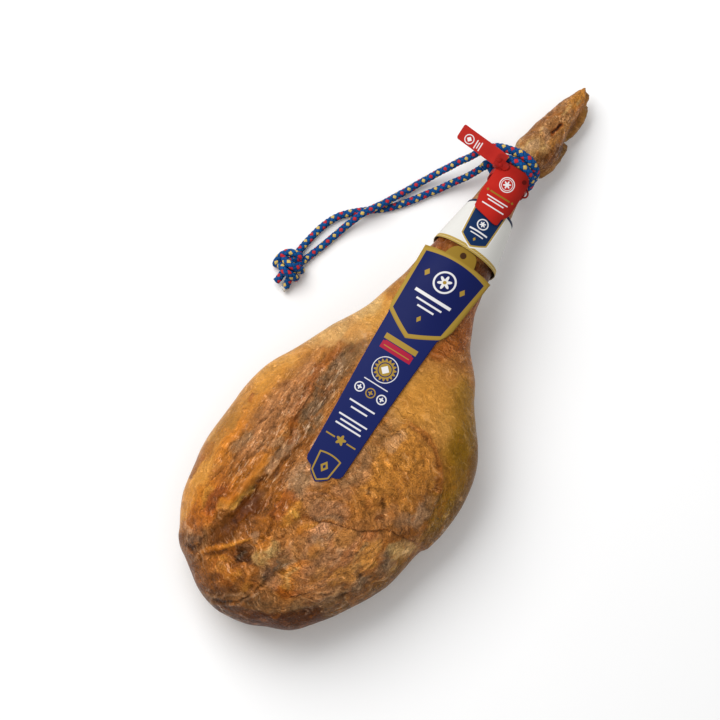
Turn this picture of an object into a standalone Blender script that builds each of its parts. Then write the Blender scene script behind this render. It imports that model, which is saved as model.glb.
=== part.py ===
"""A whole cured ham, lying on its skin side with the meat face up.

The ham is one solid: a loft of rounded sections along the leg, with the folds, bumps and hollows of the
dried meat as relief on its upper face, and the toes of the trotter joined on. Round the shank go a printed
paper cone, a long card label, a moulded plastic seal and a braided rope sling with its knot.

Lengths are millimetres along the leg: x runs from the rump to the tip of the trotter, y to the left of it
and z up from the table. They are turned into metres, about the middle of the ham, as each mesh is made.
"""
import math

import bmesh
import bpy
import numpy as np

# Driving sizes, in millimetres
MM = 0.001
HAM_LENGTH = 760.0
HAM_LEFT, HAM_RIGHT = 157.6, 136.8
MIDDLE = np.array([HAM_LENGTH / 2, (HAM_LEFT - HAM_RIGHT) / 2, 0.0])
ROPE = 9.0
ROPE_GAP = 0.4
SHANK_SLOPE = math.radians(16.0)

# The eye that the surface is laid out for: how far it leans to the rump, its distance and what it looks at
LEAN, EYE = math.radians(8.0), 5000.0
EYE_AT = (334.3, 54.8, 70.0)

# The leg's edges and heights along x
LEFT_EDGE = [(0, 36), (11, 76), (21, 90.5), (31, 104), (40, 117.5), (50, 126), (60, 130.5), (80, 141),
             (100, 149), (130, 154), (160, HAM_LEFT), (200, 155.2), (240, 151.8), (270, 145), (311, 124),
             (350, 105), (380, 88), (400, 79), (430, 70), (450, 64), (481, 58.5), (501, 53.5), (533, 49),
             (565, 44.0), (608, 37.6), (621, 33.4), (635, 31.6), (648, 32.4), (657, 34), (673, 30.3),
             (694, 26), (716, 19.7), (737, 11.7), (753, 4), (HAM_LENGTH, -1)]
RIGHT_EDGE = [(0, 36), (6, 0), (13, -15), (25, -43), (50, -65), (70, -80), (90, -92), (110, -103),
              (130, -112), (150, -116.5), (170, -120), (182, -122.5), (190, -128.5), (200, -131.5),
              (220, -135.2), (250, -HAM_RIGHT), (280, -133), (301, -127), (320, -116.5), (340, -101),
              (360, -86), (380, -75), (400, -58), (410, -49), (430, -39.3), (450, -31), (470, -27),
              (501, -22.5), (533, -16), (565, -9.0), (608, -2.8), (621, 0.5), (632, 0.8), (638, -0.6),
              (642, -6), (648, -11.5), (657, -15), (668, -17), (678, -16), (690, -13), (705, -11.5),
              (722, -11), (740, -9.5), (751, -7), (HAM_LENGTH, -1)]
TOP = [(0, 56), (5, 80), (13, 95), (30, 109), (60, 118.5), (100, 125), (150, 128.5), (200, 129.5),
       (250, 128.5), (300, 126.5), (350, 124.5), (400, 124), (450, 123.5), (480, 122), (501, 118.5),
       (533, 105), (571, 87.5), (608, 74), (623, 69), (635, 67.5), (655, 67), (690, 59), (722, 48),
       (745, 36), (HAM_LENGTH, 28)]
BOTTOM = [(0, 56), (5, 37), (13, 27), (30, 16), (60, 6), (90, 0.5), (120, -4), (200, -5), (250, -4),
          (300, 1.5), (350, 12), (400, 26), (450, 39), (490, 44), (533, 40), (565, 37), (608, 28.5),
          (623, 27), (640, 26.5), (664, 19), (694, 15), (722, 16), (745, 21), (HAM_LENGTH, 28)]
EDGE_HEIGHT = [(0, 56), (60, 55), (200, 54), (300, 63), (400, 76), (450, 80), (501, 80), (565, 62.5),
               (608, 51), (632, 47), (664, 43), (694, 37), (722, 32), (HAM_LENGTH, 28)]
TOP_FULLNESS = [(0, 1.9), (60, 2.05), (200, 2.15), (300, 2.1), (420, 2.0), (HAM_LENGTH, 2.0)]
SKIN_FULLNESS = [(0, 1.8), (120, 1.62), (300, 1.65), (450, 2.0), (HAM_LENGTH, 2.0)]
STATIONS = ([0.7, 3, 7, 13, 20, 28] + [36 + 9.2 * k for k in range(35)] + [362 + 15.5 * k for k in range(10)]
            + [517, 533, 550, 567, 584, 600, 611, 620, 628, 636, 643, 650, 659, 669, 680, 691, 702, 713,
               724, 735, 745, 752, 757])
TOP_SEGMENTS, BOTTOM_SEGMENTS = 38, 14
EDGE_CROWDING = 0.65

# Relief of the meat face, laid out as the eye sees it: lines of points with a half-width and a height,
# and bumps with a centre, two radii and a height. Below 0 they are grooves and hollows.
LINES = [
    ([(60, 84), (85, 80), (120, 77), (160, 70), (240, 70), (335, 68)], 15, -8.0),
    ([(78, 116), (110, 124), (150, 128), (200, 126), (260, 118), (330, 104)], 5, -2.2),
    ([(105, 98), (125, 92), (150, 89), (190, 89)], 7, 4.5),
    ([(38, 99), (55, 81), (75, 65), (97, 46)], 5, 4.0),
    ([(150, -2), (157, -20), (166, -50), (184, -74), (188, -100), (188, -124)], 7, -7.0),
    ([(128, 26), (146, 14), (151, -6)], 5, -3.0),
    ([(266, -18), (300, -30), (306, -50), (296, -80), (275, -100), (238, -116)], 7, -3.0),
    ([(24, -38), (80, -72), (130, -92), (172, -98)], 8, -3.0),
    ([(10, 62), (25, 34), (48, 14), (70, 4)], 6, -2.5),
    ([(150, 112), (240, 108), (320, 98)], 4, 1.8),
    ([(160, 100), (250, 94), (330, 86)], 4, -1.8),
]
BUMPS = [
    (70, 50, 10, 10, -7.0), (50, 22, 8, 7, -3.5), (52, 107, 14, 11, 4.0), (83, 29, 11, 10, 3.5),
    (133, 27, 13, 9, 4.0), (110, 5, 20, 14, 2.5), (245, -60, 62, 54, 6.0), (90, -22, 20, 14, 3.5),
    (68, -20, 9, 9, -4.5), (120, -45, 16, 12, 2.5), (150, -60, 14, 12, 2.5), (108, -62, 14, 8, -2.5),
    (175, -102, 12, 9, 3.0), (38, 45, 20, 18, 3.0), (175, 36, 14, 10, 2.0), (120, 108, 22, 10, 2.5),
]
RELIEF_FROM, RELIEF_FADE = 0.35, 0.35

# The toes and dewclaws: both ends, the radius at each and how far the claw is flattened; then the shape of
# any of them, as shares of its length and of its radius
CLAW_SHAPE = [(0.0, 0.75), (0.3, 1.0), (0.6, 1.0), (0.82, 0.85), (0.94, 0.55), (1.0, 0.2)]
CLAW_SIDES = 10
CLAWS = [
    ((700, -3, 27), (755.5, -9.0, 23), 10.0, 4.4, 1.0),
    ((697, -8.5, 24), (743, -14.5, 19), 11.0, 6.2, 0.9),
    ((647, -10, 38), (692, -18.5, 28), 10.0, 3.4, 0.9),
    ((652, 0, 25), (688, -8.0, 15), 8.5, 2.8, 0.9),
]

# Paper cone, card label and seal, the last two with their outlines laid out as the eye sees them
CONE_LOW, CONE_HIGH = (499.2, 14.9, 80.0), (562.3, 15.8, 62.4)
CONE_RADII = (42.0, 30.4)
CONE_WALL = 0.8
CONE_SEGMENTS = 36
CARD_THICK = 0.9
CARD_GAP = 1.2
CARD_OUTLINE = [(186.5, 25.6, 23.6), (190, 30.5, 18.2), (195, 36.5, 12.5), (200.6, 38.5, 10.5),
                (201.6, 42.5, 5.5), (204, 46.5, 1.5), (208, 48.3, -0.3), (225, 49, -0.9), (250, 50, -1.7),
                (275, 51.2, -2.6), (300, 52.5, -3.8), (330, 54.2, -5.6), (360, 55.5, -7.8),
                (384, 56.2, -9.2), (399, 56.6, -10.2), (404, 58, -13), (410, 59.3, -16.7),
                (419, 59.9, -19.7), (435, 60.2, -21.5), (452, 60.6, -23.5), (470, 61, -25.8),
                (488.5, 61.5, -28), (491.5, 50, -16), (493.6, 36.8, -2), (497, 36, -1), (503, 35, 0),
                (510, 33, 2.5), (519, 31, 4)]
CARD_CELLS = 10
CARD_BEND = [(186, 700), (250, 500), (300, 330), (350, 200), (400, 120), (440, 78), (490, 56), (520, 46)]
PLATE_OUTLINE = [(551, 8.5, 5), (552.5, 16, 2.6), (555, 27, 2.0), (557.8, 35.8, 1.9), (560.5, 37.6, 1.7),
                 (564.5, 37.8, -1.4), (568, 38.3, -3.2), (572, 39.7, -4.1), (578, 40.2, -4.4),
                 (595, 39.3, -4.6), (611, 38, -4.4), (616, 37, -2), (619, 34.5, 1.5), (620.3, 30, 6)]
PLATE_THICK = 2.0
PLATE_BEND = 33.0
PLATE_ENDS = (103.0, 76.0)
PLATE_MIDDLE = 17.0
PLATE_CELLS = 8

# The seal's strap and its free end
BAND_CENTRE = (606.9, 17.2, 52.5)
BAND_HALF = (22.9, 28.5)
BAND_WIDTH, BAND_THICK = 8.6, 1.4
BAND_FROM, BAND_TO, BAND_POINTS = 122, 418, 25
FLAG_LINE = [(621.5, 33, 78.5), (622.8, 44, 76.5), (624.1, 56, 74.5), (625.6, 70, 72), (627.2, 84, 69),
             (628.8, 97, 66)]
FLAG_WIDTH, FLAG_THICK = 19.5, 1.4
FLAG_FACING = (0.0, 0.15, 0.99)
LOCK_LOW, LOCK_HIGH, LOCK_TAPER = (611.5, 27.0, 72.0), (624.4, 44.0, 82.0), 1.5

# The rope: two turns square to the ankle, then two free strands to the knot on the table
TURN_CENTRE = (623.0, 16.8, 48.0)
TURN_HALF = (22.3, 27.0)
TURN_STEP = 10.4
TURN_FIRST, TURN_LAST, TURN_EACH = 62, 664, 20
TURN_POINT_STEP, KNOT_POINT_STEP, STRAND_STEP = 9.0, 10.0, 2.3 * ROPE
ROPE_SIDES = 8
ROPE_BLUE = ("rope_blue", (0.01, 0.08, 0.30), 0.8)
TO_TURNS = [(624.9, 63.6, 57.5), (633.0, 56.5, 61.5), (639.2, 47.5, 66.5)]
FROM_TURNS = [(618.5, 48.0, 34.5), (613.0, 52.3, 33.0)]
ROUTE_A = [(624.9, 63.6, 57.5), (619.8, 66.6, 54), (610.2, 72.9, 45.5), (601.6, 80.1, 36.5),
           (592.8, 85.8, 28), (583.8, 92.2, 20.5), (574.5, 97.8, 14.5), (565, 103.5, 10), (555.1, 109, 7.5),
           (545, 114, 7), (534, 120, 9.5), (517.8, 128.2, 14), (506.3, 135.3, 15.8), (492.2, 143.9, 15),
           (482, 148.3, 12), (472.5, 151.9, 8.8), (452.2, 158.5, 5), (431.6, 165.1, 4.8), (421, 169, 4.9),
           (411, 172.4, 6.5)]
ROUTE_B = [(613, 52.3, 33), (608, 54.8, 29.5), (603, 57.6, 26), (594, 63.1, 20), (584.7, 70.3, 14.5),
           (575.2, 77.2, 10), (565.4, 83.7, 7), (555.4, 91.4, 5.2), (540, 101.9, 4.8), (524.4, 114.1, 4.8),
           (514.1, 123.7, 4.8), (503.8, 136.4, 4.8), (493.4, 149.6, 4.8), (483.1, 160.3, 4.8),
           (472.8, 168.4, 4.8), (457.4, 175.4, 4.8), (441.9, 179.6, 4.8), (426.5, 182.5, 4.9),
           (414, 184.2, 6.5)]
FINE_STEPS = 12
KNOT_CORES = [
    [(402, 175.5, 11), (392, 177, 14), (381, 176.5, 14), (374, 175.5, 11), (369.5, 174.5, 8)],
    [(405, 185.5, 11), (394, 186, 14), (382, 186.5, 13.5), (374, 187, 11), (369.5, 187.8, 9)],
]
KNOT_CORE_RADII = (4.5, 5.4, 7.2, 7.2, 5.6, 4.5)
KNOT_TURNS = [
    [(385, 170.5, 12), (383.2, 175, 20), (383.2, 184, 23), (386.5, 191.5, 17), (388.5, 193, 9),
     (387.5, 186, 4.8), (386.5, 176, 5.2)],
    [(396, 169.8, 12), (394, 175, 20.5), (393, 184, 23.8), (395.5, 192, 18), (398, 193.5, 9.5),
     (398.5, 186, 4.8), (397.5, 176, 5.2)],
    [(409, 180, 14), (410.5, 187, 16.5), (408.5, 195, 15), (401.5, 201, 11.5), (393, 201.5, 8.5),
     (389.5, 197.5, 6)],
]


def smooth_curve(points):
    """Return a function through hand-set points: a cubic that never overshoots, its x eased by a square
    root so that the rump closes round and not as a point."""
    x, y = np.array(points, float).T
    q = np.sqrt(x)
    width, rise = np.diff(q), np.diff(y) / np.diff(q)
    slope = np.empty_like(y)
    slope[0], slope[-1] = rise[0], rise[-1]
    w1, w2 = 2 * width[1:] + width[:-1], width[1:] + 2 * width[:-1]
    turning = rise[:-1] * rise[1:] <= 0
    with np.errstate(divide="ignore", invalid="ignore"):
        mean = (w1 + w2) / (w1 / rise[:-1] + w2 / rise[1:])
    slope[1:-1] = np.where(turning, 0.0, mean)

    def curve(at):
        s = np.sqrt(np.clip(at, x[0], x[-1]))
        k = np.clip(np.searchsorted(q, s) - 1, 0, len(q) - 2)
        t = (s - q[k]) / width[k]
        return (y[k] * (1 + 2 * t) * (1 - t) ** 2 + y[k + 1] * t * t * (3 - 2 * t)
                + width[k] * (slope[k] * t * (1 - t) ** 2 + slope[k + 1] * t * t * (t - 1)))

    return curve


left_edge, right_edge = smooth_curve(LEFT_EDGE), smooth_curve(RIGHT_EDGE)
top_height, bottom_height = smooth_curve(TOP), smooth_curve(BOTTOM)
edge_height = smooth_curve(EDGE_HEIGHT)
top_fullness, skin_fullness = smooth_curve(TOP_FULLNESS), smooth_curve(SKIN_FULLNESS)


def line_distance(px, py, line):
    """Distance from each plan point to a line of straight pieces."""
    nearest = np.full(np.shape(px), 1e9)
    for (ax, ay), (bx, by) in zip(line[:-1], line[1:]):
        dx, dy = bx - ax, by - ay
        t = np.clip(((px - ax) * dx + (py - ay) * dy) / (dx * dx + dy * dy), 0, 1)
        nearest = np.minimum(nearest, np.hypot(px - ax - t * dx, py - ay - t * dy))
    return nearest


def as_seen(x, y, z):
    """Where the eye sees a point: millimetres along and across the leg at the distance it looks at."""
    along, up = x - EYE_AT[0], z - EYE_AT[2]
    nearer = EYE / (EYE - up * math.cos(LEAN) + along * math.sin(LEAN))
    px = EYE_AT[0] + (along * math.cos(LEAN) + up * math.sin(LEAN)) * nearer
    return px, EYE_AT[1] + (y - EYE_AT[1]) * nearer


def from_seen(px, py, z):
    """x and y of the point at height z that the eye sees at px, py."""
    x, y = px, py
    for _ in range(6):
        sx, sy = as_seen(x, y, z)
        x, y = x + px - sx, y + py - sy
    return x, y


def relief(x, y, z):
    """Height of the folds and bumps over the plain leg, at points of its upper face."""
    px, py = as_seen(x, y, z)
    total = np.zeros(np.shape(px))
    for line, width, height in LINES:
        total += height * np.exp(-(line_distance(px, py, line) / width) ** 2)
    for bx, by, rx, ry, height in BUMPS:
        total += height * np.exp(-((px - bx) / rx) ** 2 - ((py - by) / ry) ** 2)
    return total


def relief_share(arch):
    """How much of the relief counts: all on top of the leg, none where it turns down to the skin."""
    fade = np.clip((arch - RELIEF_FROM) / RELIEF_FADE, 0, 1)
    return fade * fade * (3 - 2 * fade)


def upper_face(x, y, with_relief=True):
    """Height of the leg's upper face at x, y: an arch of superellipse form between the two edges."""
    left, right = left_edge(x), right_edge(x)
    side = np.clip((2 * y - left - right) / (left - right), -1, 1)
    n = top_fullness(x)
    arch = np.maximum(1 - np.abs(side) ** n, 0) ** (1 / n)
    z = edge_height(x) + (top_height(x) - edge_height(x)) * arch
    if with_relief:
        z = z + relief(x, y, z) * relief_share(arch)
    return z


def put_mesh(name, points, faces):
    """Make a closed mesh object from points in millimetres along the leg."""
    mesh = bpy.data.meshes.new(name)
    place = (np.asarray(points, float) - MIDDLE) * MM
    mesh.from_pydata(place.tolist(), [], faces)
    bm = bmesh.new()
    bm.from_mesh(mesh)
    bmesh.ops.recalc_face_normals(bm, faces=bm.faces)
    bm.to_mesh(mesh)
    bm.free()
    mesh.shade_smooth()
    piece = bpy.data.objects.new(name, mesh)
    bpy.context.scene.collection.objects.link(piece)
    return piece


def give_material(piece, name, colour, roughness, metallic=0.0):
    material = bpy.data.materials.get(name) or bpy.data.materials.new(name)
    material.use_nodes = True
    shader = material.node_tree.nodes["Principled BSDF"]
    shader.inputs["Base Color"].default_value = (*colour, 1.0)
    shader.inputs["Roughness"].default_value = roughness
    shader.inputs["Metallic"].default_value = metallic
    piece.data.materials.clear()
    piece.data.materials.append(material)


def skin_rings(rings, closed_ends=True, ring_of_rings=False):
    """Faces that join rings of equal size, each ring a row of a point grid."""
    count, size = rings
    faces = []
    for k in range(count if ring_of_rings else count - 1):
        a, b = k * size, (k + 1) % count * size
        for j in range(size):
            n = (j + 1) % size
            faces.append((a + j, a + n, b + n, b + j))
    if closed_ends and not ring_of_rings:
        faces.append(tuple(range(size - 1, -1, -1)))
        faces.append(tuple(range((count - 1) * size, count * size)))
    return faces


def tube_points(path, radii, sides, flatten=1.0, ends=(None, None)):
    """Rings of points about a path, each square to the path and turned as little as it can be. The end
    rings can be given a direction of their own, to lie face to face with another tube's."""
    path = np.asarray(path, float)
    tangent = np.gradient(path, axis=0)
    for place, along in zip((0, -1), ends):
        if along is not None:
            tangent[place] = along
    tangent /= np.linalg.norm(tangent, axis=1)[:, None]
    across = np.cross(tangent[0], [0.0, 0.0, 1.0])
    if np.linalg.norm(across) < 0.1:
        across = np.cross(tangent[0], [0.0, 1.0, 0.0])
    angle = np.arange(sides) * 2 * math.pi / sides
    points = []
    for centre, along, radius in zip(path, tangent, np.broadcast_to(radii, len(path))):
        across = across - along * np.dot(across, along)
        across /= np.linalg.norm(across)
        up = np.cross(across, along) * flatten
        points.append(centre + radius * (np.outer(np.cos(angle), across) + np.outer(np.sin(angle), up)))
    return np.concatenate(points)


def rounded_path(points, step, closed=False):
    """Read a smooth curve through hand-set points at even steps."""
    p = np.asarray(points, float)
    if closed:
        p = np.vstack([p[-2:], p, p[:3]])
    else:
        p = np.vstack([2 * p[0] - p[1], p, 2 * p[-1] - p[-2]])
    t = np.arange(FINE_STEPS)[:, None] / FINE_STEPS
    fine = [b + 0.5 * ((c - a) * t + (2 * a - 5 * b + 4 * c - d) * t ** 2 + (3 * b - a - 3 * c + d) * t ** 3)
            for a, b, c, d in zip(p[:-3], p[1:-2], p[2:-1], p[3:])]
    fine = np.vstack(fine + [p[-2][None]])
    if closed:
        fine = fine[FINE_STEPS:-FINE_STEPS]
    run = np.concatenate([[0], np.cumsum(np.linalg.norm(np.diff(fine, axis=0), axis=1))])
    at = np.linspace(0, run[-1], max(2, round(run[-1] / step)) + 1)
    return np.stack([np.interp(at, run, fine[:, i]) for i in range(3)], axis=1)


def tube(name, path, radii, sides, flatten=1.0, ends=(None, None)):
    points = tube_points(path, radii, sides, flatten, ends)
    return put_mesh(name, points, skin_rings((len(path), sides)))


def fuse(piece, others, solver="EXACT"):
    """Join other solids into a piece with one Boolean union, and remove them."""
    group = bpy.data.collections.new(piece.name + "_joined")
    for other in others:
        bpy.context.scene.collection.objects.unlink(other)
        group.objects.link(other)
    bpy.context.scene.collection.children.link(group)
    union = piece.modifiers.new("join", "BOOLEAN")
    union.operation = "UNION"
    union.operand_type = "COLLECTION"
    union.collection = group
    union.solver = solver
    bpy.context.view_layer.update()
    result = bpy.data.meshes.new_from_object(piece.evaluated_get(bpy.context.evaluated_depsgraph_get()))
    piece.modifiers.clear()
    piece.data = result
    for other in others:
        bpy.data.objects.remove(other)
    bpy.data.collections.remove(group)
    return piece


def ham_body():
    """The leg as rings square to x: the arch of the meat face above, the round of the skin below, and a
    small flat under the body where it rests. The rings' points are crowded towards the two edges."""
    share = np.arange(TOP_SEGMENTS) / TOP_SEGMENTS
    over = -(EDGE_CROWDING * np.cos(math.pi * share) + (1 - EDGE_CROWDING) * (1 - 2 * share))
    under = np.cos(math.pi * np.arange(BOTTOM_SEGMENTS) / BOTTOM_SEGMENTS)
    points = [(0.0, LEFT_EDGE[0][1], TOP[0][1])]
    for x in STATIONS:
        left, right, edge = left_edge(x), right_edge(x), edge_height(x)
        middle, half = (left + right) / 2, (left - right) / 2
        n = top_fullness(x)
        for side in over:
            arch = (1 - abs(side) ** n) ** (1 / n)
            y = middle + half * side
            plain = edge + (top_height(x) - edge) * arch
            points.append((x, y, plain + relief(x, y, plain) * relief_share(arch)))
        for side in under:
            drop = (1 - abs(side) ** skin_fullness(x)) ** (1 / skin_fullness(x))
            points.append((x, middle + half * side, max(edge - (edge - bottom_height(x)) * drop, 0.0)))
    points.append((HAM_LENGTH, LEFT_EDGE[-1][1], TOP[-1][1]))
    size = TOP_SEGMENTS + BOTTOM_SEGMENTS
    faces = [tuple(i + 1 for i in face)
             for face in skin_rings((len(STATIONS), size), closed_ends=False)]
    last = 1 + (len(STATIONS) - 1) * size
    for j in range(size):
        n = (j + 1) % size
        faces.append((0, 1 + n, 1 + j))
        faces.append((last + j, last + n, len(points) - 1))
    return put_mesh("ham", points, faces)


def claw(index, start, end, first, last, flatten):
    """A toe or dewclaw: a tapering stub with a rounded end."""
    a, b = np.array(start, float), np.array(end, float)
    path = [a + (b - a) * along for along, _ in CLAW_SHAPE]
    radii = [(first + (last - first) * along) * full for along, full in CLAW_SHAPE]
    return tube(f"claw_{index}", path, radii, CLAW_SIDES, flatten)


def make_ham():
    ham = ham_body()
    fuse(ham, [claw(i, *row) for i, row in enumerate(CLAWS)])
    give_material(ham, "cured_meat", (0.42, 0.20, 0.06), 0.5)


def make_cone():
    """A thin paper cone round the shank: an outer and an inner wall joined at both rims."""
    low, high = np.array(CONE_LOW), np.array(CONE_HIGH)
    axis = (high - low) / np.linalg.norm(high - low)
    left = np.cross([0.0, 0.0, 1.0], axis)
    left /= np.linalg.norm(left)
    up = np.cross(axis, left)
    angle = np.arange(CONE_SEGMENTS) * 2 * math.pi / CONE_SEGMENTS
    points = []
    for centre, radius in ((low, CONE_RADII[0]), (high, CONE_RADII[1]),
                           (high, CONE_RADII[1] - CONE_WALL), (low, CONE_RADII[0] - CONE_WALL)):
        points.append(centre + radius * (np.outer(np.cos(angle), left) + np.outer(np.sin(angle), up)))
    cone = put_mesh("paper_cone", np.concatenate(points), skin_rings((4, CONE_SEGMENTS), ring_of_rings=True))
    give_material(cone, "white_paper", (0.80, 0.80, 0.78), 0.45)


def sheet_solid(name, lower, upper):
    """A closed thin solid between two equal grids of points, rows by columns."""
    rows, columns = lower.shape[:2]
    points = np.concatenate([lower.reshape(-1, 3), upper.reshape(-1, 3)])
    over = rows * columns
    faces = []
    for r in range(rows - 1):
        for c in range(columns - 1):
            a = r * columns + c
            faces.append((a, a + columns, a + columns + 1, a + 1))
            faces.append((over + a, over + a + 1, over + a + columns + 1, over + a + columns))
    border = ([(0, c) for c in range(columns - 1)] + [(r, columns - 1) for r in range(rows - 1)]
              + [(rows - 1, c) for c in range(columns - 1, 0, -1)] + [(r, 0) for r in range(rows - 1, 0, -1)])
    ids = [r * columns + c for r, c in border]
    for a, b in zip(ids, ids[1:] + ids[:1]):
        faces.append((a, b, over + b, over + a))
    return put_mesh(name, points, faces)


def card_grid(lift):
    """The label laid along the leg. Each row is tangent to the plain leg at its middle and bends a little
    less than the leg does to both sides, and it is lifted until it clears the relief below."""
    bend = smooth_curve(CARD_BEND)
    across = np.linspace(0, 1, CARD_CELLS + 1)
    rows, clearance = [], []
    for px, left, right in CARD_OUTLINE:
        z = EYE_AT[2]
        for _ in range(4):
            x, middle = from_seen(px, (left + right) / 2, z)
            z = float(upper_face(x, middle, False))
        y = from_seen(px, right + (left - right) * across, z)[1]
        tilt = float(upper_face(x, middle + 2, False) - upper_face(x, middle - 2, False)) / 4
        off = y - middle
        row = z + tilt * off - off ** 2 / (2 * float(bend(px)))
        clearance.append(float(np.max(upper_face(np.full_like(y, x), y) - row)))
        rows.append(np.stack([np.full_like(y, x), y, row], axis=1))
    padded = np.pad(clearance, 3, mode="edge")
    highest = np.array([padded[k:k + 5].max() for k in range(len(rows) + 2)])
    rise = np.array([highest[k:k + 3].mean() for k in range(len(rows))])
    rows = np.array(rows)
    rows[:, :, 2] += rise[:, None] + CARD_GAP + lift
    return rows


def make_card():
    card = sheet_solid("label_card", card_grid(0.0), card_grid(CARD_THICK))
    give_material(card, "navy_card", (0.02, 0.03, 0.16), 0.4)


def plate_grid(lift):
    """The seal's plate: straight along the shank and bent over it."""
    rows = []
    for px, left, right in PLATE_OUTLINE:
        share = (px - PLATE_OUTLINE[0][0]) / (PLATE_OUTLINE[-1][0] - PLATE_OUTLINE[0][0])
        ridge = PLATE_ENDS[0] + (PLATE_ENDS[1] - PLATE_ENDS[0]) * share
        x, y = from_seen(px, right + (left - right) * np.linspace(0, 1, PLATE_CELLS + 1), ridge)
        z = ridge - PLATE_BEND + np.sqrt(PLATE_BEND ** 2 - (y - PLATE_MIDDLE) ** 2) + lift
        rows.append(np.stack([np.full_like(y, np.mean(x)), y, z], axis=1))
    return np.array(rows)


def box(name, low, high, taper=0.0):
    """A block whose upper face is drawn in by a taper."""
    (ax, ay, az), (bx, by, bz) = low, high
    t = taper
    points = [(ax, ay, az), (bx, ay, az), (bx, by, az), (ax, by, az),
              (ax + t, ay + t, bz), (bx - t, ay + t, bz), (bx - t, by - t, bz), (ax + t, by - t, bz)]
    faces = [(0, 3, 2, 1), (4, 5, 6, 7), (0, 1, 5, 4), (1, 2, 6, 5), (2, 3, 7, 6), (3, 0, 4, 7)]
    return put_mesh(name, points, faces)


def strip(name, centres, across, width, thick, normal):
    """A flat strap along a line of points, with its width along one direction at each point."""
    lower, upper = [], []
    for centre, side, out in zip(centres, across, normal):
        c, s, n = np.array(centre), np.array(side), np.array(out)
        lower.append([c - s * width / 2, c + s * width / 2])
        upper.append([c - s * width / 2 + n * thick, c + s * width / 2 + n * thick])
    return sheet_solid(name, np.array(lower), np.array(upper))


def make_seal():
    """The moulded seal: plate, lock housing with two studs, strap round the shank, and the strap's free
    end standing out to the left as a flag."""
    plate = sheet_solid("seal", plate_grid(0.0), plate_grid(PLATE_THICK))
    turn = np.radians(np.linspace(BAND_FROM, BAND_TO, BAND_POINTS))
    lean = math.tan(SHANK_SLOPE)
    rim = np.stack([np.cos(turn), np.sin(turn)], axis=1)
    centres = [(BAND_CENTRE[0] + lean * BAND_HALF[1] * s, BAND_CENTRE[1] + BAND_HALF[0] * c,
                BAND_CENTRE[2] + BAND_HALF[1] * s) for c, s in rim]
    sides = [(math.cos(SHANK_SLOPE), 0, -math.sin(SHANK_SLOPE))] * len(turn)
    outward = [(0, c, s) for c, s in rim]
    band = strip("band", centres, sides, BAND_WIDTH, BAND_THICK, outward)
    flag = strip("flag", FLAG_LINE, [(1, 0, 0)] * len(FLAG_LINE), FLAG_WIDTH, FLAG_THICK,
                 [FLAG_FACING] * len(FLAG_LINE))
    lock = box("lock", LOCK_LOW, LOCK_HIGH, LOCK_TAPER)
    fuse(plate, [band, flag, lock])
    give_material(plate, "red_plastic", (0.55, 0.015, 0.01), 0.35)


def ankle_turns():
    """Route of the rope round the ankle: it comes in from the left over the top, goes round twice, each
    turn a little nearer the rump, and leaves from below on the left."""
    turn = np.radians(np.arange(TURN_FIRST, TURN_LAST, TURN_EACH))
    back = TURN_STEP * (turn - turn[0]) / (2 * math.pi)
    height = TURN_HALF[1] * np.sin(turn)
    x = TURN_CENTRE[0] + TURN_STEP + math.tan(SHANK_SLOPE) * height - back
    y = TURN_CENTRE[1] + TURN_HALF[0] * np.cos(turn)
    return np.vstack([TO_TURNS, np.stack([x, y, TURN_CENTRE[2] + height], axis=1), FROM_TURNS])


def make_strand(name, route):
    """One free strand as a curve with capped ends, held back a little from the rope that it goes on from.
    Returns its line of points."""
    line = rounded_path(route, STRAND_STEP)
    line[0] += ROPE_GAP * (line[1] - line[0]) / np.linalg.norm(line[1] - line[0])
    curve = bpy.data.curves.new(name, "CURVE")
    curve.dimensions = "3D"
    curve.bevel_depth = ROPE / 2 * MM
    curve.bevel_resolution = 2
    curve.use_fill_caps = True
    spline = curve.splines.new("POLY")
    spline.points.add(len(line) - 1)
    for point, place in zip(spline.points, (line - MIDDLE) * MM):
        point.co = (*place, 1.0)
    strand = bpy.data.objects.new(name, curve)
    bpy.context.scene.collection.objects.link(strand)
    give_material(strand, *ROPE_BLUE)
    return line


def make_rope():
    """The sling: two turns round the ankle, two strands along the table and the knot that joins them."""
    strand_a, strand_b = make_strand("rope_strand_a", ROUTE_A), make_strand("rope_strand_b", ROUTE_B)
    wrap = tube("rope_wrap", rounded_path(ankle_turns(), TURN_POINT_STEP), ROPE / 2, ROPE_SIDES,
                ends=(strand_a[0] - strand_a[1], strand_b[1] - strand_b[0]))
    give_material(wrap, *ROPE_BLUE)
    cores, turns = [], []
    for i, (strand, points) in enumerate(zip((strand_a, strand_b), KNOT_CORES)):
        along = strand[-1] - strand[-2]
        start = strand[-1] + ROPE_GAP * along / np.linalg.norm(along)
        cores.append(tube(f"core_{i}", np.vstack([start, points]), KNOT_CORE_RADII, ROPE_SIDES,
                          ends=(along, None)))
    for i, points in enumerate(KNOT_TURNS):
        ring = rounded_path(points, KNOT_POINT_STEP, closed=True)
        rings = tube_points(ring, ROPE / 2, ROPE_SIDES)[:-ROPE_SIDES]
        faces = skin_rings((len(ring) - 1, ROPE_SIDES), ring_of_rings=True)
        turns.append(put_mesh(f"turn_{i}", rings, faces))
    knot = cores[0]
    knot.name = "rope_knot"
    fuse(knot, cores[1:] + turns, "MANIFOLD")
    give_material(knot, *ROPE_BLUE)


def main():
    for old in list(bpy.data.objects):
        bpy.data.objects.remove(old)
    make_ham()
    make_cone()
    make_card()
    make_seal()
    make_rope()


main()
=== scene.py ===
# %% [markdown]
# # A whole cured ham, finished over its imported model
#
# The ham lies on its skin side with the meat face up. Round its shank go a printed paper cone, a long card
# label, a moulded plastic seal and a braided rope sling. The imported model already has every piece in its
# right place and size, so it is loaded first. Each piece is then made again with a finer surface and with
# the finish of the real thing, and it takes the place of the plain solid.

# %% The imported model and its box
import math

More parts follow.
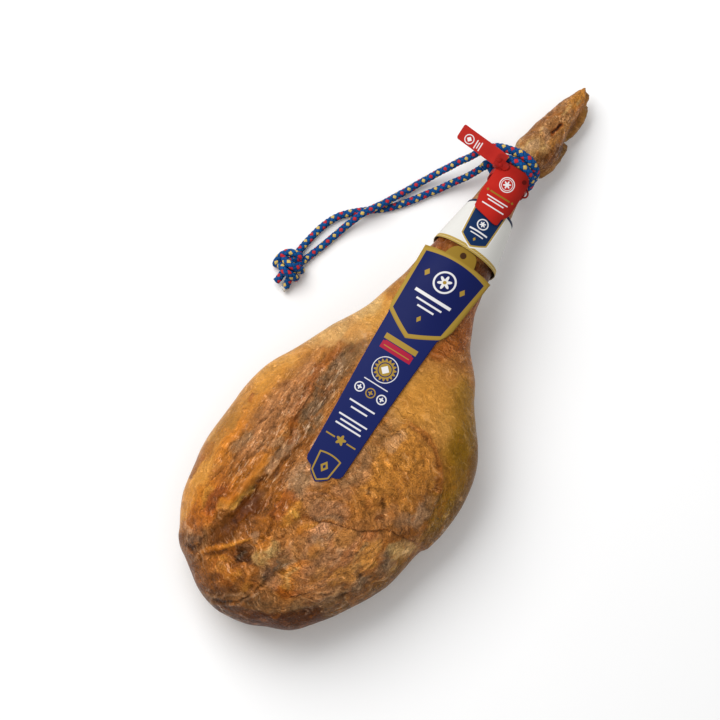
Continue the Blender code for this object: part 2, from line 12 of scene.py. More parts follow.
import bpy
import numpy as np
from mathutils import Matrix, Vector


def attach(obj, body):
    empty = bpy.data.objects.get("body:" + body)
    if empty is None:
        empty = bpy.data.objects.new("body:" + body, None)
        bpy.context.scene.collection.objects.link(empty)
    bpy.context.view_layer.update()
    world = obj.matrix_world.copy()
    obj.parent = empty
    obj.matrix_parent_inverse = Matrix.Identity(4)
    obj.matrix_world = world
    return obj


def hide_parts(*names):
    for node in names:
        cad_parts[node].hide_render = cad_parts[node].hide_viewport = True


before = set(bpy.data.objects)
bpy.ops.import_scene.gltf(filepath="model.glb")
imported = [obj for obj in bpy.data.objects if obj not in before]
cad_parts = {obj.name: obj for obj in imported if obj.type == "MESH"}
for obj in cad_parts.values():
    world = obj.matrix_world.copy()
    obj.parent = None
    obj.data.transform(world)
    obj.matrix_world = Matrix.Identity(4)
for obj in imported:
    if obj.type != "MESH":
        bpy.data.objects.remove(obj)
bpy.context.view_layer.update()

print("packed nodes:", ", ".join(sorted(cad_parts)))

# %% [markdown]
# ## Lengths
#
# A ham is easiest to describe along its leg. So x runs in millimetres from the rump to the tip of the
# trotter, y to the left of the leg and z up from the table. Blender works in metres about the middle of the
# ham, and one small function goes from the first to the second.

# %% Lengths along the leg, and in the scene
MM = 0.001
HAM_LENGTH = 760.0
HAM_LEFT, HAM_RIGHT = 157.6, 136.8
MIDDLE = np.array([HAM_LENGTH / 2, (HAM_LEFT - HAM_RIGHT) / 2, 0.0])


def in_metres(points):
    """Scene place of points along the leg: take the ham's middle away and divide by a thousand."""
    return (np.asarray(points, float) - MIDDLE) * MM


def in_leg(points):
    """Back from scene metres to millimetres along the leg."""
    return np.asarray(points, float) / MM + MIDDLE


print("the rump is at", in_metres((0, 0, 0)), "and the tip at", in_metres((HAM_LENGTH, 0, 0)))

# %% [markdown]
# ## The camera
#
# The photograph looks almost straight down on the meat face, from well back, so that the leg runs up and to
# the right. The eye leans eight degrees towards the rump. A long lens from five metres gives the same flat
# perspective. The same numbers later tell where a point of the ham appears to the eye.

# %% Camera
LEAN = math.radians(8.0)
LEG_TURN = math.radians(58.0)
EYE = 5000.0
EYE_AT = np.array([334.3, 54.8, 70.0])
PICTURE_PIXELS, MM_PER_PIXEL = 720, 1.165
PICTURE_WIDTH = PICTURE_PIXELS * MM_PER_PIXEL
SENSOR = 36.0

leg_axis = np.array([math.cos(LEAN), 0.0, math.sin(LEAN)])
left_axis = np.array([0.0, 1.0, 0.0])
eye_axis = np.cross(leg_axis, left_axis)
picture_right = math.cos(LEG_TURN) * leg_axis - math.sin(LEG_TURN) * left_axis
picture_up = math.sin(LEG_TURN) * leg_axis + math.cos(LEG_TURN) * left_axis

camera = bpy.data.objects.new("camera", bpy.data.cameras.new("camera"))
bpy.context.scene.collection.objects.link(camera)
camera.data.sensor_width = SENSOR
camera.data.lens = SENSOR * EYE / PICTURE_WIDTH
camera.data.clip_start, camera.data.clip_end = 0.1, 50.0
pose = np.eye(4)
pose[:3, 0], pose[:3, 1], pose[:3, 2] = picture_right, picture_up, eye_axis
pose[:3, 3] = in_metres(EYE_AT) + eye_axis * EYE * MM
camera.matrix_world = Matrix(pose.tolist())
bpy.context.scene.camera = camera
print("lens", round(camera.data.lens, 1), "mm at", np.round(pose[:3, 3], 3))


def as_seen(x, y, z):
    """Where the eye sees a point, in millimetres along and across the leg: the point is turned by the lean
    and moved towards the middle of the view by its distance from the eye."""
    along, up = x - EYE_AT[0], z - EYE_AT[2]
    nearer = EYE / (EYE - up * math.cos(LEAN) + along * math.sin(LEAN))
    u = EYE_AT[0] + (along * math.cos(LEAN) + up * math.sin(LEAN)) * nearer
    return u, EYE_AT[1] + (y - EYE_AT[1]) * nearer


def from_seen(u, v, z):
    """x and y of the point at height z that is seen at u, v: a few steps of correcting a first guess."""
    x, y = u, v
    for _ in range(6):
        seen_u, seen_v = as_seen(x, y, z)
        x, y = x + u - seen_u, y + v - seen_v
    return x, y


# %% [markdown]
# ## Surfaces from grids
#
# Every piece below is a sheet of numbers: rows of points along it and columns across or around it. One
# helper joins such a grid into four-sided faces, and another makes the Blender object, turns the faces
# outwards by the sign of the volume that they enclose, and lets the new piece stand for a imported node.

# %% Faces of a grid
def grid_faces(rows, columns, closed=False):
    """Quads of a grid whose point r, c has the number r * columns + c. A closed grid also joins its last
    column to its first."""
    r = np.arange(rows - 1)[:, None]
    c = np.arange(columns if closed else columns - 1)[None, :]
    n = (c + 1) % columns
    return np.stack([r * columns + c, r * columns + n, (r + 1) * columns + n, (r + 1) * columns + c],
                    axis=-1).reshape(-1, 4)


def end_fans(rows, columns):
    """Triangles that close both ends of a closed grid, from two poles whose points come after the grid's."""
    first, last = np.arange(columns)[::-1], (rows - 1) * columns + np.arange(columns)
    poles = np.repeat([rows * columns, rows * columns + 1], columns)
    following = np.append(np.roll(first, -1), np.roll(last, -1))
    return np.stack([poles, np.append(first, last), following], axis=1)


def enclosed_volume(points, face_groups):
    """Volume inside faces: a sixth of the sum of the corners' triple products, fanned from corner 0."""
    total = 0.0
    for face in face_groups:
        for k in range(1, face.shape[1] - 1):
            a, b, c = points[face[:, 0]], points[face[:, k]], points[face[:, k + 1]]
            total += np.einsum("ij,ij->", a, np.cross(b, c)) / 6
    return total


print("a closed grid of 3 by 8 points has", len(grid_faces(3, 8, True)), "quads and", len(end_fans(3, 8)),
      "triangles at its ends")


# %% Making a piece
def make_piece(name, points, face_groups, corner_uv=None):
    """A mesh object from points in millimetres along the leg and arrays of faces, each array with faces of
    one size. corner_uv has a u and v for each face corner, in the faces' order."""
    points = np.asarray(points, float)
    face_groups = [np.asarray(group) for group in face_groups]
    volume = enclosed_volume(points, face_groups)
    turned = volume < 0
    if turned:
        face_groups = [group[:, ::-1] for group in face_groups]
    mesh = bpy.data.meshes.new(name)
    mesh.from_pydata(in_metres(points), [], [f for group in face_groups for f in group.tolist()])
    if corner_uv is not None:
        if turned:
            corner_uv = [uv[:, ::-1] for uv in corner_uv]
        flat = np.concatenate([uv.reshape(-1, 2) for uv in corner_uv])
        mesh.uv_layers.new(name="lay").data.foreach_set("uv", flat.astype(np.float32).ravel())
    mesh.shade_smooth()
    piece = bpy.data.objects.new(name, mesh)
    bpy.context.scene.collection.objects.link(piece)
    print(f"{name}: {len(points)} points, {abs(volume) / 1000:.1f} cm3")
    return piece


def make_round(name, grid, poles):
    """A piece from a closed grid of points with a pole at each end."""
    rows, columns = grid.shape[:2]
    faces = [grid_faces(rows, columns, closed=True), end_fans(rows, columns)]
    return make_piece(name, np.vstack([grid.reshape(-1, 3), poles]), faces)


def stand_for(piece, node):
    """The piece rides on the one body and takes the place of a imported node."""
    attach(piece, "root")
    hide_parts(node)


# %% Values on the points of a piece
def give_values(piece, name, values, kind="FLOAT"):
    """Store a number, a vector or a colour for each point of a piece, for its material to read."""
    field = {"FLOAT": "value", "FLOAT_VECTOR": "vector", "FLOAT_COLOR": "color"}[kind]
    values = np.asarray(values, np.float32)
    if kind == "FLOAT_COLOR":
        values = np.concatenate([values, np.ones((len(values), 1), np.float32)], axis=1)
    piece.data.attributes.new(name, kind, "POINT").data.foreach_set(field, values.ravel())


def points_of(piece):
    """The points of a piece, in millimetres along the leg."""
    flat = np.empty(len(piece.data.vertices) * 3, np.float32)
    piece.data.vertices.foreach_get("co", flat)
    return in_leg(flat.reshape(-1, 3))


# %% [markdown]
# ## Writing shader maths as sums
#
# A material is a net of nodes, but its maths reads better as an expression. The class below holds one
# output socket. Adding or multiplying two of them adds the Math node that does it, and one method adds any
# other node.

# %% Colours as the eye names them
LIGHT = 1.36


def linear(red, green, blue):
    """A colour as the eye names it, 0 to 255, turned to the straight light values that Blender mixes."""
    c = np.array([red, green, blue], float) / 255
    return np.where(c <= 0.04045, c / 12.92, ((c + 0.055) / 1.055) ** 2.4)


def ink(red, green, blue):
    """The same, made darker by the strength of the studio light, so that it shows as the eye named it."""
    return tuple(linear(red, green, blue) / LIGHT)


print("paper of 238, 236, 230 is mixed as", np.round(ink(238, 236, 230), 3))


# %% A wire between shader nodes
class Wire:
    """An output socket of a material's node."""

    def __init__(self, tree, socket=None):
        self.tree, self.socket = tree, socket

    def add(self, kind, settings=None, values=None, out=0):
        """Add a node: its settings first, then the values or wires of its inputs. Gives its output."""
        node = self.tree.nodes.new("ShaderNode" + kind)
        for name, value in (settings or {}).items():
            setattr(node, name, value)
        for name, value in (values or {}).items():
            if isinstance(value, Wire):
                self.tree.links.new(value.socket, node.inputs[name])
            else:
                node.inputs[name].default_value = value
        return Wire(self.tree, node.outputs[out])

    def maths(self, operation, *others):
        """A Math node that takes this wire first."""
        return self.add("Math", {"operation": operation}, dict(enumerate((self, *others))))

    def __add__(self, other):
        return self.maths("ADD", other)

    def __sub__(self, other):
        return self.maths("SUBTRACT", other)

    def __mul__(self, other):
        return self.maths("MULTIPLY", other)

    def __truediv__(self, other):
        return self.maths("DIVIDE", other)

    def __rsub__(self, other):
        return self.add("Math", {"operation": "SUBTRACT"}, {0: other, 1: self})

    __radd__, __rmul__ = __add__, __mul__

    def step(self, low, high):
        """0 below low and 1 above high, with a smooth rise between; low above high turns it round."""
        return self.add("MapRange", {"interpolation_type": "SMOOTHSTEP"},
                        {"Value": self, "From Min": low, "From Max": high})

    def blend(self, below, above, share):
        """From one colour to another by a share. Each is a wire or three plain values."""
        below, above = ((*colour, 1.0) if isinstance(colour, tuple) else colour for colour in (below, above))
        return self.add("Mix", {"data_type": "RGBA"}, {0: share, 6: below, 7: above}, 2)

    def mixed(self, other, share):
        """This colour with another over it, by a share."""
        return self.blend(self, other, share)

    def flat(self, colour):
        """One colour, for others to be laid over."""
        node = self.add("RGB")
        node.socket.default_value = (*colour, 1.0)
        return node

    def lit(self, scale):
        """This colour times a number, lighter above 1."""
        return self.add("VectorMath", {"operation": "SCALE"}, {0: self, "Scale": scale})

    def stored(self, name, kind="Vector"):
        """What the piece stores under a name for each point: a Vector, a Color or a single Fac."""
        return self.add("Attribute", {"attribute_name": name}, None, kind)

    def place(self):
        """The place on the piece in metres."""
        return self.add("TexCoord", None, None, "Object")

    def parts(self):
        """The three numbers of a vector."""
        split = self.add("SeparateXYZ", None, {0: self}).socket.node
        return [Wire(self.tree, output) for output in split.outputs]

    def scaled(self, scale):
        """A vector stretched along each axis."""
        return self.add("VectorMath", {"operation": "MULTIPLY"}, {0: self, 1: scale})

    def noise(self, size, detail=4.0, rough=0.55):
        """Cloudy noise whose blobs are about size metres across, from 0 to 1."""
        return self.add("TexNoise", None,
                        {"Vector": self, "Scale": 1 / size, "Detail": detail, "Roughness": rough})


# %% A material and its sockets
def new_material(name, **sockets):
    """A material with a Principled shader whose plain values are set here. Gives it, a first wire on its
    node tree and the shader node."""
    material = bpy.data.materials.new(name)
    material.use_nodes = True
    tree = material.node_tree
    shader = tree.nodes["Principled BSDF"]
    for socket, value in sockets.items():
        shader.inputs[socket.replace("_", " ")].default_value = value
    return material, Wire(tree), shader


def feed(wire, shader, **sockets):
    """Link wires to the shader's sockets."""
    for socket, value in sockets.items():
        wire.tree.links.new(value.socket, shader.inputs[socket.replace("_", " ")])


def bumped(wire, height, depth, strength=1.0):
    """A normal from a height: the height's 0 to 1 stands for a depth in metres."""
    return wire.add("Bump", None, {"Height": height, "Distance": depth, "Strength": strength})


# %% [markdown]
# ## The rope's route
#
# The sling is one rope of nine millimetres. It goes twice round the ankle and leaves it as two strands that
# cross on the way to a knot on the table. A rope lies in smooth bends, so its line is a curve through a few
# given points.

# %% Rope routes
def places(text):
    """The points in a text: each is a word, its numbers joined by commas."""
    return [tuple(map(float, word.split(","))) for word in text.split() if "," in word]


ROPE = 9.0
ROPE_GAP = 0.4
SHANK_SLOPE = math.radians(16.0)
TURN_CENTRE, TURN_HALF = (624.1, 16.8, 48.0), (22.3, 27.0)
TURN_STEP, WRAP_RADIUS = 10.9, 5.3
TURN_FIRST, TURN_LAST, TURN_EACH = 62, 664, 20
FINE_STEPS = 12
TO_TURNS = places("624.9,63.6,57.5 631.6,56.2,61.5 637,47.2,66.5")
FROM_TURNS = places("618.5,48,34.5 613,52.3,33")
ROUTE_A = places("""
624.9,63.6,57.5 619.8,66.6,54 610.2,72.9,45.5 601.6,80.1,36.5 592.8,85.8,28 583.8,92.2,20.5
574.5,97.8,14.5 565,103.5,10 555.1,109,7.5 545,114,7 534,120,9.5 517.8,128.2,14 506.3,135.3,15.8
492.2,143.9,15 482,148.3,12 472.5,151.9,8.8 452.2,158.5,5 431.6,165.1,4.8 421,169,4.9 411,172.4,6.5
""")
ROUTE_B = places("""
613,52.3,33 608,54.8,29.5 603,57.6,26 594,63.1,20 584.7,70.3,14.5 575.2,77.2,10 565.4,83.7,7
555.4,91.4,5.2 540,101.9,4.8 524.4,114.1,4.8 514.1,123.7,4.8 503.8,136.4,4.8 493.4,149.6,4.8
483.1,160.3,4.8 472.8,168.4,4.8 457.4,175.4,4.8 441.9,179.6,4.8 426.5,182.5,4.9 414,184.2,6.5
""")
print("points set by hand for the strands:", len(ROUTE_A), "and", len(ROUTE_B))


# %% Smooth lines through set points
def run_along(line):
    """The length from the start of a line to each of its points."""
    return np.concatenate([[0], np.cumsum(np.linalg.norm(np.diff(line, axis=0), axis=1))])


def smooth_route(points, step, closed=False):
    """A curve through given points, read at even steps: each stretch is the cubic whose slope at a point
    is half the way between its two neighbours."""
    p = np.asarray(points, float)
    if closed:
        p = np.vstack([p[-2:], p, p[:3]])
    else:
        p = np.vstack([2 * p[0] - p[1], p, 2 * p[-1] - p[-2]])
    t = np.arange(FINE_STEPS)[:, None] / FINE_STEPS
    fine = [b + 0.5 * ((c - a) * t + (2 * a - 5 * b + 4 * c - d) * t ** 2 + (3 * b - a - 3 * c + d) * t ** 3)
            for a, b, c, d in zip(p[:-3], p[1:-2], p[2:-1], p[3:])]
    fine = np.vstack(fine + [p[-2][None]])
    if closed:
        fine = fine[FINE_STEPS:-FINE_STEPS]
    run = run_along(fine)
    at = np.linspace(0, run[-1], max(2, round(run[-1] / step)) + 1)
    return np.stack([np.interp(at, run, fine[:, i]) for i in range(3)], axis=1)


def ankle_turns():
    """The rope round the ankle: a turn of an ellipse square to the shank for each full angle, each turn one
    step nearer the rump, with the points that lead in from the left and out below."""
    turn = np.radians(np.arange(TURN_FIRST, TURN_LAST, TURN_EACH))
    back = TURN_STEP * (turn - turn[0]) / (2 * math.pi)
    height = TURN_HALF[1] * np.sin(turn)
    x = TURN_CENTRE[0] + TURN_STEP + math.tan(SHANK_SLOPE) * height - back
    y = TURN_CENTRE[1] + TURN_HALF[0] * np.cos(turn)
    return np.vstack([TO_TURNS, np.stack([x, y, TURN_CENTRE[2] + height], axis=1), FROM_TURNS])


print("strands of", [round(run_along(smooth_route(r, 2))[-1]) for r in (ROUTE_A, ROUTE_B)], "mm and",
      round(run_along(smooth_route(ankle_turns(), 2))[-1]), "mm round the ankle")

# %% [markdown]
# ## Braid as a surface
#
# A braided rope has two families of yarns that wind round it in opposite ways and go over and under each
# other. Modelling every yarn would take very many faces. Instead the tube's own surface swells and sinks.
# Two slanted coordinates, a and b, count the yarns of the two families. In each small diamond one family is
# on top, and its two yarns are round across and slightly arched along. The same two numbers colour the
# diamonds in the material, where every other yarn of both families is dyed, so both always agree.

# %% Yarns on a tube
YARNS, DIAMOND = 4, 5.35
AROUND, RING_STEP = 48, 0.6
YARN_DEPTH, YARN_ARCH = 0.24, 0.3
YARN_SPLIT, SPLIT_WIDTH = 0.13, 0.08


def path_frames(line, ends=(None, None)):
    """At each point of a line the direction along it and two directions square to it, the first carried
    along with the least turning."""
    along = np.gradient(line, axis=0)
    for place, direction in zip((0, -1), ends):
        if direction is not None:
            along[place] = direction
    along /= np.linalg.norm(along, axis=1)[:, None]
    across = np.cross(along[0], [0.0, 0.0, 1.0])
    if np.linalg.norm(across) < 0.1:
        across = np.cross(along[0], [0.0, 1.0, 0.0])
    kept = []
    for direction in along:
        across = across - direction * np.dot(across, direction)
        across = across / np.linalg.norm(across)
        kept.append(across)
    kept = np.array(kept)
    return along, kept, np.cross(kept, along)


def braid_height(run, turn):
    """Height of the yarns, 0 to 1, at a length along the rope and a share of a turn round it. With a and b
    the yarn counts, the family on top goes by whether their whole parts add up to an even number."""
    a, b = YARNS * turn + run / DIAMOND, YARNS * turn - run / DIAMOND
    across, along = a % 1, b % 1
    other = (np.floor(a) + np.floor(b)) % 2 == 1
    across, along = np.where(other, along, across), np.where(other, across, along)
    split = YARN_SPLIT * np.exp(-((across - 0.5) / SPLIT_WIDTH) ** 2)
    return (np.sqrt(1 - (2 * across - 1) ** 2) - split) * (1 - YARN_ARCH * (2 * along - 1) ** 2)


print("the hollows between yarns are", round(YARN_DEPTH * ROPE / 2, 2), "mm deep")


# %% Braided tubes
def braided(line, start=0.0, ends=(None, None), radius=ROPE / 2, phase=0.0):
    """Grid of a braided tube about a line: the radius is the rope's, less the yarns' depth where they dip.
    Gives points, quads, end fans and the corners' places: yarns along it, and the share of a turn."""
    _, across, up = path_frames(line, ends)
    run = start + run_along(line)
    turn = np.arange(AROUND) / AROUND
    reach = radius * (1 - YARN_DEPTH * (1 - braid_height(run[:, None], turn[None, :])))
    angle = 2 * math.pi * (turn + phase)[None, :, None]
    outward = np.cos(angle) * across[:, None] + np.sin(angle) * up[:, None]
    points = (line[:, None] + reach[..., None] * outward).reshape(-1, 3)
    rows = len(line)
    caps = end_fans(rows, AROUND)
    r, c = np.repeat(np.arange(rows - 1), AROUND), np.tile(np.arange(AROUND), rows - 1)
    lay = np.stack([np.stack([run[r + i] / DIAMOND, (c + j) / AROUND], axis=-1)
                    for i, j in ((0, 0), (0, 1), (1, 1), (1, 0))], axis=1)
    cap_lay = np.tile([run[0] / DIAMOND, 0.5], (len(caps), 3, 1))
    return np.vstack([points, line[0], line[-1]]), grid_faces(rows, AROUND, closed=True), caps, lay, cap_lay


def join_braids(name, tubes):
    """Several braided tubes as one mesh."""
    points, quads, caps, lays, cap_lays = zip(*tubes)
    before = np.cumsum([0] + [len(p) for p in points[:-1]])
    faces = [np.concatenate([f + b for f, b in zip(group, before)]) for group in (quads, caps)]
    return make_piece(name, np.concatenate(points), faces, [np.concatenate(lays), np.concatenate(cap_lays)])


strand_lines = [smooth_route(route, RING_STEP) for route in (ROUTE_A, ROUTE_B)]
for line in strand_lines:
    line[0] += ROPE_GAP * (line[1] - line[0]) / np.linalg.norm(line[1] - line[0])
strands = [join_braids(f"rope_strand_{letter}_braid", [braided(line, phase=phase)])
           for letter, line, phase in zip("ab", strand_lines, (0.125, 0.0))]
wrap_line = smooth_route(ankle_turns(), RING_STEP)
wrap_ends = (strand_lines[0][0] - strand_lines[0][1], strand_lines[1][1] - strand_lines[1][0])
wrap = join_braids("rope_wrap_braid", [braided(wrap_line, ends=wrap_ends, radius=WRAP_RADIUS)])

# %% [markdown]
# ## The knot
#
# The two strands go into a fist of a knot: two turns lie side by side across them, a third goes round the
# corner on the far side, and two short tails come out. The white core of the rope shows at one cut end. Each
# pass is its own braided tube, pressed against its neighbours as in the real knot.

# %% Knot
# One line of points for each strand's end and for each turn about them.
KNOT_CORES = [places(row) for row in """
402,175.5,11 392,177,14 381,176.5,14 374,175.5,11 369.5,174.5,8
405,185.5,11 394,186,14 382,186.5,13.5 374,187,11 369.5,187.8,9
""".strip().splitlines()]
KNOT_TURNS = [places(row) for row in """
385,170.5,12 383.2,175,20 383.2,184,23 386.5,191.5,17 388.5,193,9 387.5,186,5.4 386.5,176,5.6
396,169.8,12 394,175,20.5 393,184,23.8 395.5,192,18 398,193.5,9.5 398.5,186,5.4 397.5,176,5.6
407,180,14 408,187,16.5 405,194,15.5 398.5,198.5,12 391,199.5,9 388.5,197,6
""".strip().splitlines()]
CORE_END = places("371.5,174.5,8 368,175.2,7.8 365.2,176.4,7.6")
TURN_RADIUS, CORE_RADIUS, TURN_START = 4.8, 3.9, 4.0


def knot_tubes():
    """The tubes of the knot: both strands' ends through it, three turns about them and one bare core."""
    tubes = []
    for line, points in zip(strand_lines, KNOT_CORES):
        along = (line[-1] - line[-2]) / np.linalg.norm(line[-1] - line[-2])
        core = smooth_route(np.vstack([line[-1] + ROPE_GAP * along, points]), RING_STEP)
        tubes.append(braided(core, start=run_along(line)[-1], ends=(along, None)))
    for index, points in enumerate(KNOT_TURNS):
        turn = smooth_route(points, RING_STEP, closed=True)
        tubes.append(braided(turn, start=TURN_START * index, radius=TURN_RADIUS))
    tubes.append(braided(smooth_route(CORE_END, RING_STEP), radius=CORE_RADIUS))
    return tubes


tubes = knot_tubes()
knot = join_braids("rope_knot_braid", tubes)
bare = np.zeros(len(knot.data.vertices))
bare[-len(tubes[-1][0]):] = 1
give_values(knot, "core", bare)

# %% [markdown]
# ## Dye and yarn
#
# The rope is blue with yellow and red flecks. Where both families carry a dyed yarn, a diamond shows its
# colour: yellow and red take turns along the rope. Fine lines along the top yarn give it fibres, and each
# diamond is a little lighter or darker than the next, as spun yarn is.

# %% Rope material
ROPE_BLUE, ROPE_DEEP_AND_SHADED_BLUE = ink(10, 98, 170), ink(5, 44, 98)
ROPE_YELLOW, ROPE_RED = ink(238, 206, 112), ink(218, 48, 58)
FLECK_SHADE, ROPE_CORE = ink(120, 60, 30), ink(226, 222, 212)


def rope_material():
    """Blue yarns with yellow and red diamonds, and painted shade where yarns dip and between their fibres.
    """
    material, wire, shader = new_material("braided_rope", Roughness=0.7, Specular_IOR_Level=0.12)
    run, turn, _ = wire.add("UVMap", {"uv_map": "lay"}).parts()
    a, b = turn * YARNS + run, turn * YARNS - run
    whole_a, whole_b = a.maths("FLOOR"), b.maths("FLOOR")
    other = (whole_a + whole_b).maths("FLOORED_MODULO", 2.0)
    part_a, part_b = a - whole_a, b - whole_b
    across = part_a * (1 - other) + part_b * other
    fibres = (across * 44.0 + (part_a + part_b) * 3.0).maths("SINE") * 0.5 + 0.5
    hollow = (across * 2.0 - 1.0).maths("ABSOLUTE")
    split = (across - 0.5).maths("ABSOLUTE").step(0.09, 0.02)
    dyed_a, dyed_b = (whole.maths("FLOORED_MODULO", 2.0).maths("LESS_THAN", 0.5)
                      for whole in (whole_a, whole_b))
    red_turn = (whole_b / 2.0).maths("FLOOR").maths("FLOORED_MODULO", 2.0)
    cell = wire.add("CombineXYZ", None, {0: whole_a, 1: whole_b})
    shade = wire.add("TexWhiteNoise", {"noise_dimensions": "2D"}, {"Vector": cell}, 0)
    # Painted shade in the dips between yarns and in each yarn's split, with each diamond's own tone and
    # fibre lines.
    dark = hollow.step(0.45, 0.95) * 0.8 + split * 0.45 + shade * 0.3 + fibres * 0.12
    fleck = wire.blend(ROPE_YELLOW, ROPE_RED, red_turn)
    # The flecks get the same painted shade in the dips and splits.
    fleck = fleck.mixed(FLECK_SHADE, hollow.step(0.6, 1.0) * 0.4 + split * 0.2 + fibres * 0.1)
    colour = wire.blend(ROPE_BLUE, ROPE_DEEP_AND_SHADED_BLUE, dark).mixed(fleck, dyed_a * dyed_b)
    colour = colour.mixed(ROPE_CORE, wire.stored("core", "Fac"))
    feed(wire, shader, Base_Color=colour, Normal=bumped(wire, fibres, 0.00015, 0.6))
    return material


rope_finish = rope_material()
for piece, node in ((strands[0], "rope_strand_a"), (strands[1], "rope_strand_b"), (wrap, "rope_wrap"),
                    (knot, "rope_knot")):
    piece.data.materials.append(rope_finish)
    stand_for(piece, node)

# %% [markdown]
# ## The leg's form
#
# Seen from above, the ham has a left and a right edge, and each has a height. Over them goes an arch to the
# top of the meat face, under them the round of the skin. Six curves along the leg and two that say how full
# the arches are give the whole form.

# %% Curves along the leg
LEFT_EDGE = places("""
0,36 11,76 21,90.5 31,104 40,117.5 50,126 60,130.5 80,141 100,149 130,154 160,157.6 200,155.2 240,151.8
270,145 311,124 350,105 380,88 400,79 430,70 450,64 481,58.5 501,53.5 533,49 565,44 608,37.6 621,33.4
635,31.6 648,32.4 657,34 673,30.3 694,26 716,19.7 737,11.7 753,4 760,-1
""")
RIGHT_EDGE = places("""
0,36 6,0 13,-15 25,-43 50,-65 70,-80 90,-92 110,-103 130,-112 150,-116.5 170,-120 182,-122.5 190,-128.5
200,-131.5 220,-135.2 250,-136.8 280,-133 301,-127 320,-116.5 340,-101 360,-86 380,-75 400,-58 410,-49
430,-39.3 450,-31 470,-27 501,-22.5 533,-16 565,-9 608,-2.8 621,0.5 632,0.8 638,-0.6 642,-6 648,-11.5
657,-15 668,-17 678,-16 690,-13 705,-11.5 722,-11 740,-9.5 751,-7 760,-1
""")
TOP = places("""
0,56 5,80 13,95 30,109 60,118.5 100,125 150,128.5 200,129.5 250,128.5 300,126.5 350,124.5 400,124
450,123.5 480,122 501,118.5 533,105 571,87.5 608,74 623,69 635,67.5 655,67 690,59 722,48 745,36 760,28
""")
BOTTOM = places("""
0,56 5,37 13,27 30,16 60,6 90,0.5 120,-4 200,-5 250,-4 300,1.5 350,12 400,26 450,39 490,44 533,40 565,37
608,28.5 623,27 640,26.5 664,19 694,15 722,16 745,21 760,28
""")
EDGE_HEIGHT = places("""
0,56 60,55 200,54 300,63 400,76 450,80 501,80 565,62.5 608,51 632,47 664,43 694,37 722,32 760,28
""")
TOP_FULLNESS = places("0,1.9 60,2.05 200,2.15 300,2.1 420,2 760,2")
SKIN_FULLNESS = places("0,1.8 120,1.62 300,1.65 450,2 760,2")


# %% A curve through set points
def smooth_curve(points):
    """A function through given points: a cubic that never overshoots, its x eased by a square root so
    that the rump closes round and not as a point."""
    x, y = np.array(points, float).T
    q = np.sqrt(x)
    width, rise = np.diff(q), np.diff(y) / np.diff(q)
    slope = np.empty_like(y)
    slope[0], slope[-1] = rise[0], rise[-1]
    w1, w2 = 2 * width[1:] + width[:-1], width[1:] + 2 * width[:-1]
    turning = rise[:-1] * rise[1:] <= 0
    with np.errstate(divide="ignore", invalid="ignore"):
        mean = (w1 + w2) / (w1 / rise[:-1] + w2 / rise[1:])
    slope[1:-1] = np.where(turning, 0.0, mean)

    def curve(at):
        """The cubic of the stretch that a place is in, from its two ends' heights and slopes."""
        s = np.sqrt(np.clip(at, x[0], x[-1]))
        k = np.clip(np.searchsorted(q, s) - 1, 0, len(q) - 2)
        t = (s - q[k]) / width[k]
        return (y[k] * (1 + 2 * t) * (1 - t) ** 2 + y[k + 1] * t * t * (3 - 2 * t)
                + width[k] * (slope[k] * t * (1 - t) ** 2 + slope[k + 1] * t * t * (t - 1)))

    return curve


left_edge, right_edge = smooth_curve(LEFT_EDGE), smooth_curve(RIGHT_EDGE)
top_height, bottom_height = smooth_curve(TOP), smooth_curve(BOTTOM)
edge_height = smooth_curve(EDGE_HEIGHT)
top_fullness, skin_fullness = smooth_curve(TOP_FULLNESS), smooth_curve(SKIN_FULLNESS)
print("the leg is", round(float(left_edge(200) - right_edge(200))), "mm wide at its fullest part")

# %% [markdown]
# ## Folds and bumps
#
# The meat face was trimmed and has dried, so it has grooves, tendons, pits and swellings. They are laid out
# as the eye sees them: a line with a half-width and a height is a ridge, or a groove below zero, and a spot
# with two radii is a bump or a hollow. The lines stand in a small table of text, one row for each. These are
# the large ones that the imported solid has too.

# %% The large folds as a table
def rows_of(text):
    """The rows of a table: the plain values of each, and its line of places u,v."""
    rows = []
    for row in text.strip().splitlines():
        if not row.startswith("#"):
            values = [word if word.isalpha() else float(word) for word in row.split() if "," not in word]
            rows.append((values, places(row)))
    return rows


# Half-width, height, and the line.
LINES = rows_of("""
15 -8 60,84 85,80 120,77 160,70 240,70 335,68
5 -2.2 78,116 110,124 150,128 200,126 260,118 330,104
7 4.5 105,98 125,92 150,89 190,89
5 4 38,99 55,81 75,65 97,46
7 -7 150,-2 157,-20 166,-50 184,-74 188,-100 188,-124
5 -3 128,26 146,14 151,-6
7 -3 266,-18 300,-30 306,-50 296,-80 275,-100 238,-116
8 -3 24,-38 80,-72 130,-92 172,-98
6 -2.5 10,62 25,34 48,14 70,4
4 1.8 150,112 240,108 320,98
4 -1.8 160,100 250,94 330,86
""")
# Place, radii along and across, and height.
BUMPS = [
    (70, 50, 10, 10, -7.0), (50, 22, 8, 7, -3.5), (52, 107, 14, 11, 4.0), (83, 29, 11, 10, 3.5),
    (133, 27, 13, 9, 4.0), (110, 5, 20, 14, 2.5), (245, -60, 62, 54, 6.0), (90, -22, 20, 14, 3.5),
    (68, -20, 9, 9, -4.5), (120, -45, 16, 12, 2.5), (150, -60, 14, 12, 2.5), (108, -62, 14, 8, -2.5),
    (175, -102, 12, 9, 3.0), (38, 45, 20, 18, 3.0), (175, 36, 14, 10, 2.0), (120, 108, 22, 10, 2.5),
]
RELIEF_FROM, RELIEF_FADE = 0.35, 0.35
print(len(LINES), "folds and", len(BUMPS), "bumps and hollows")


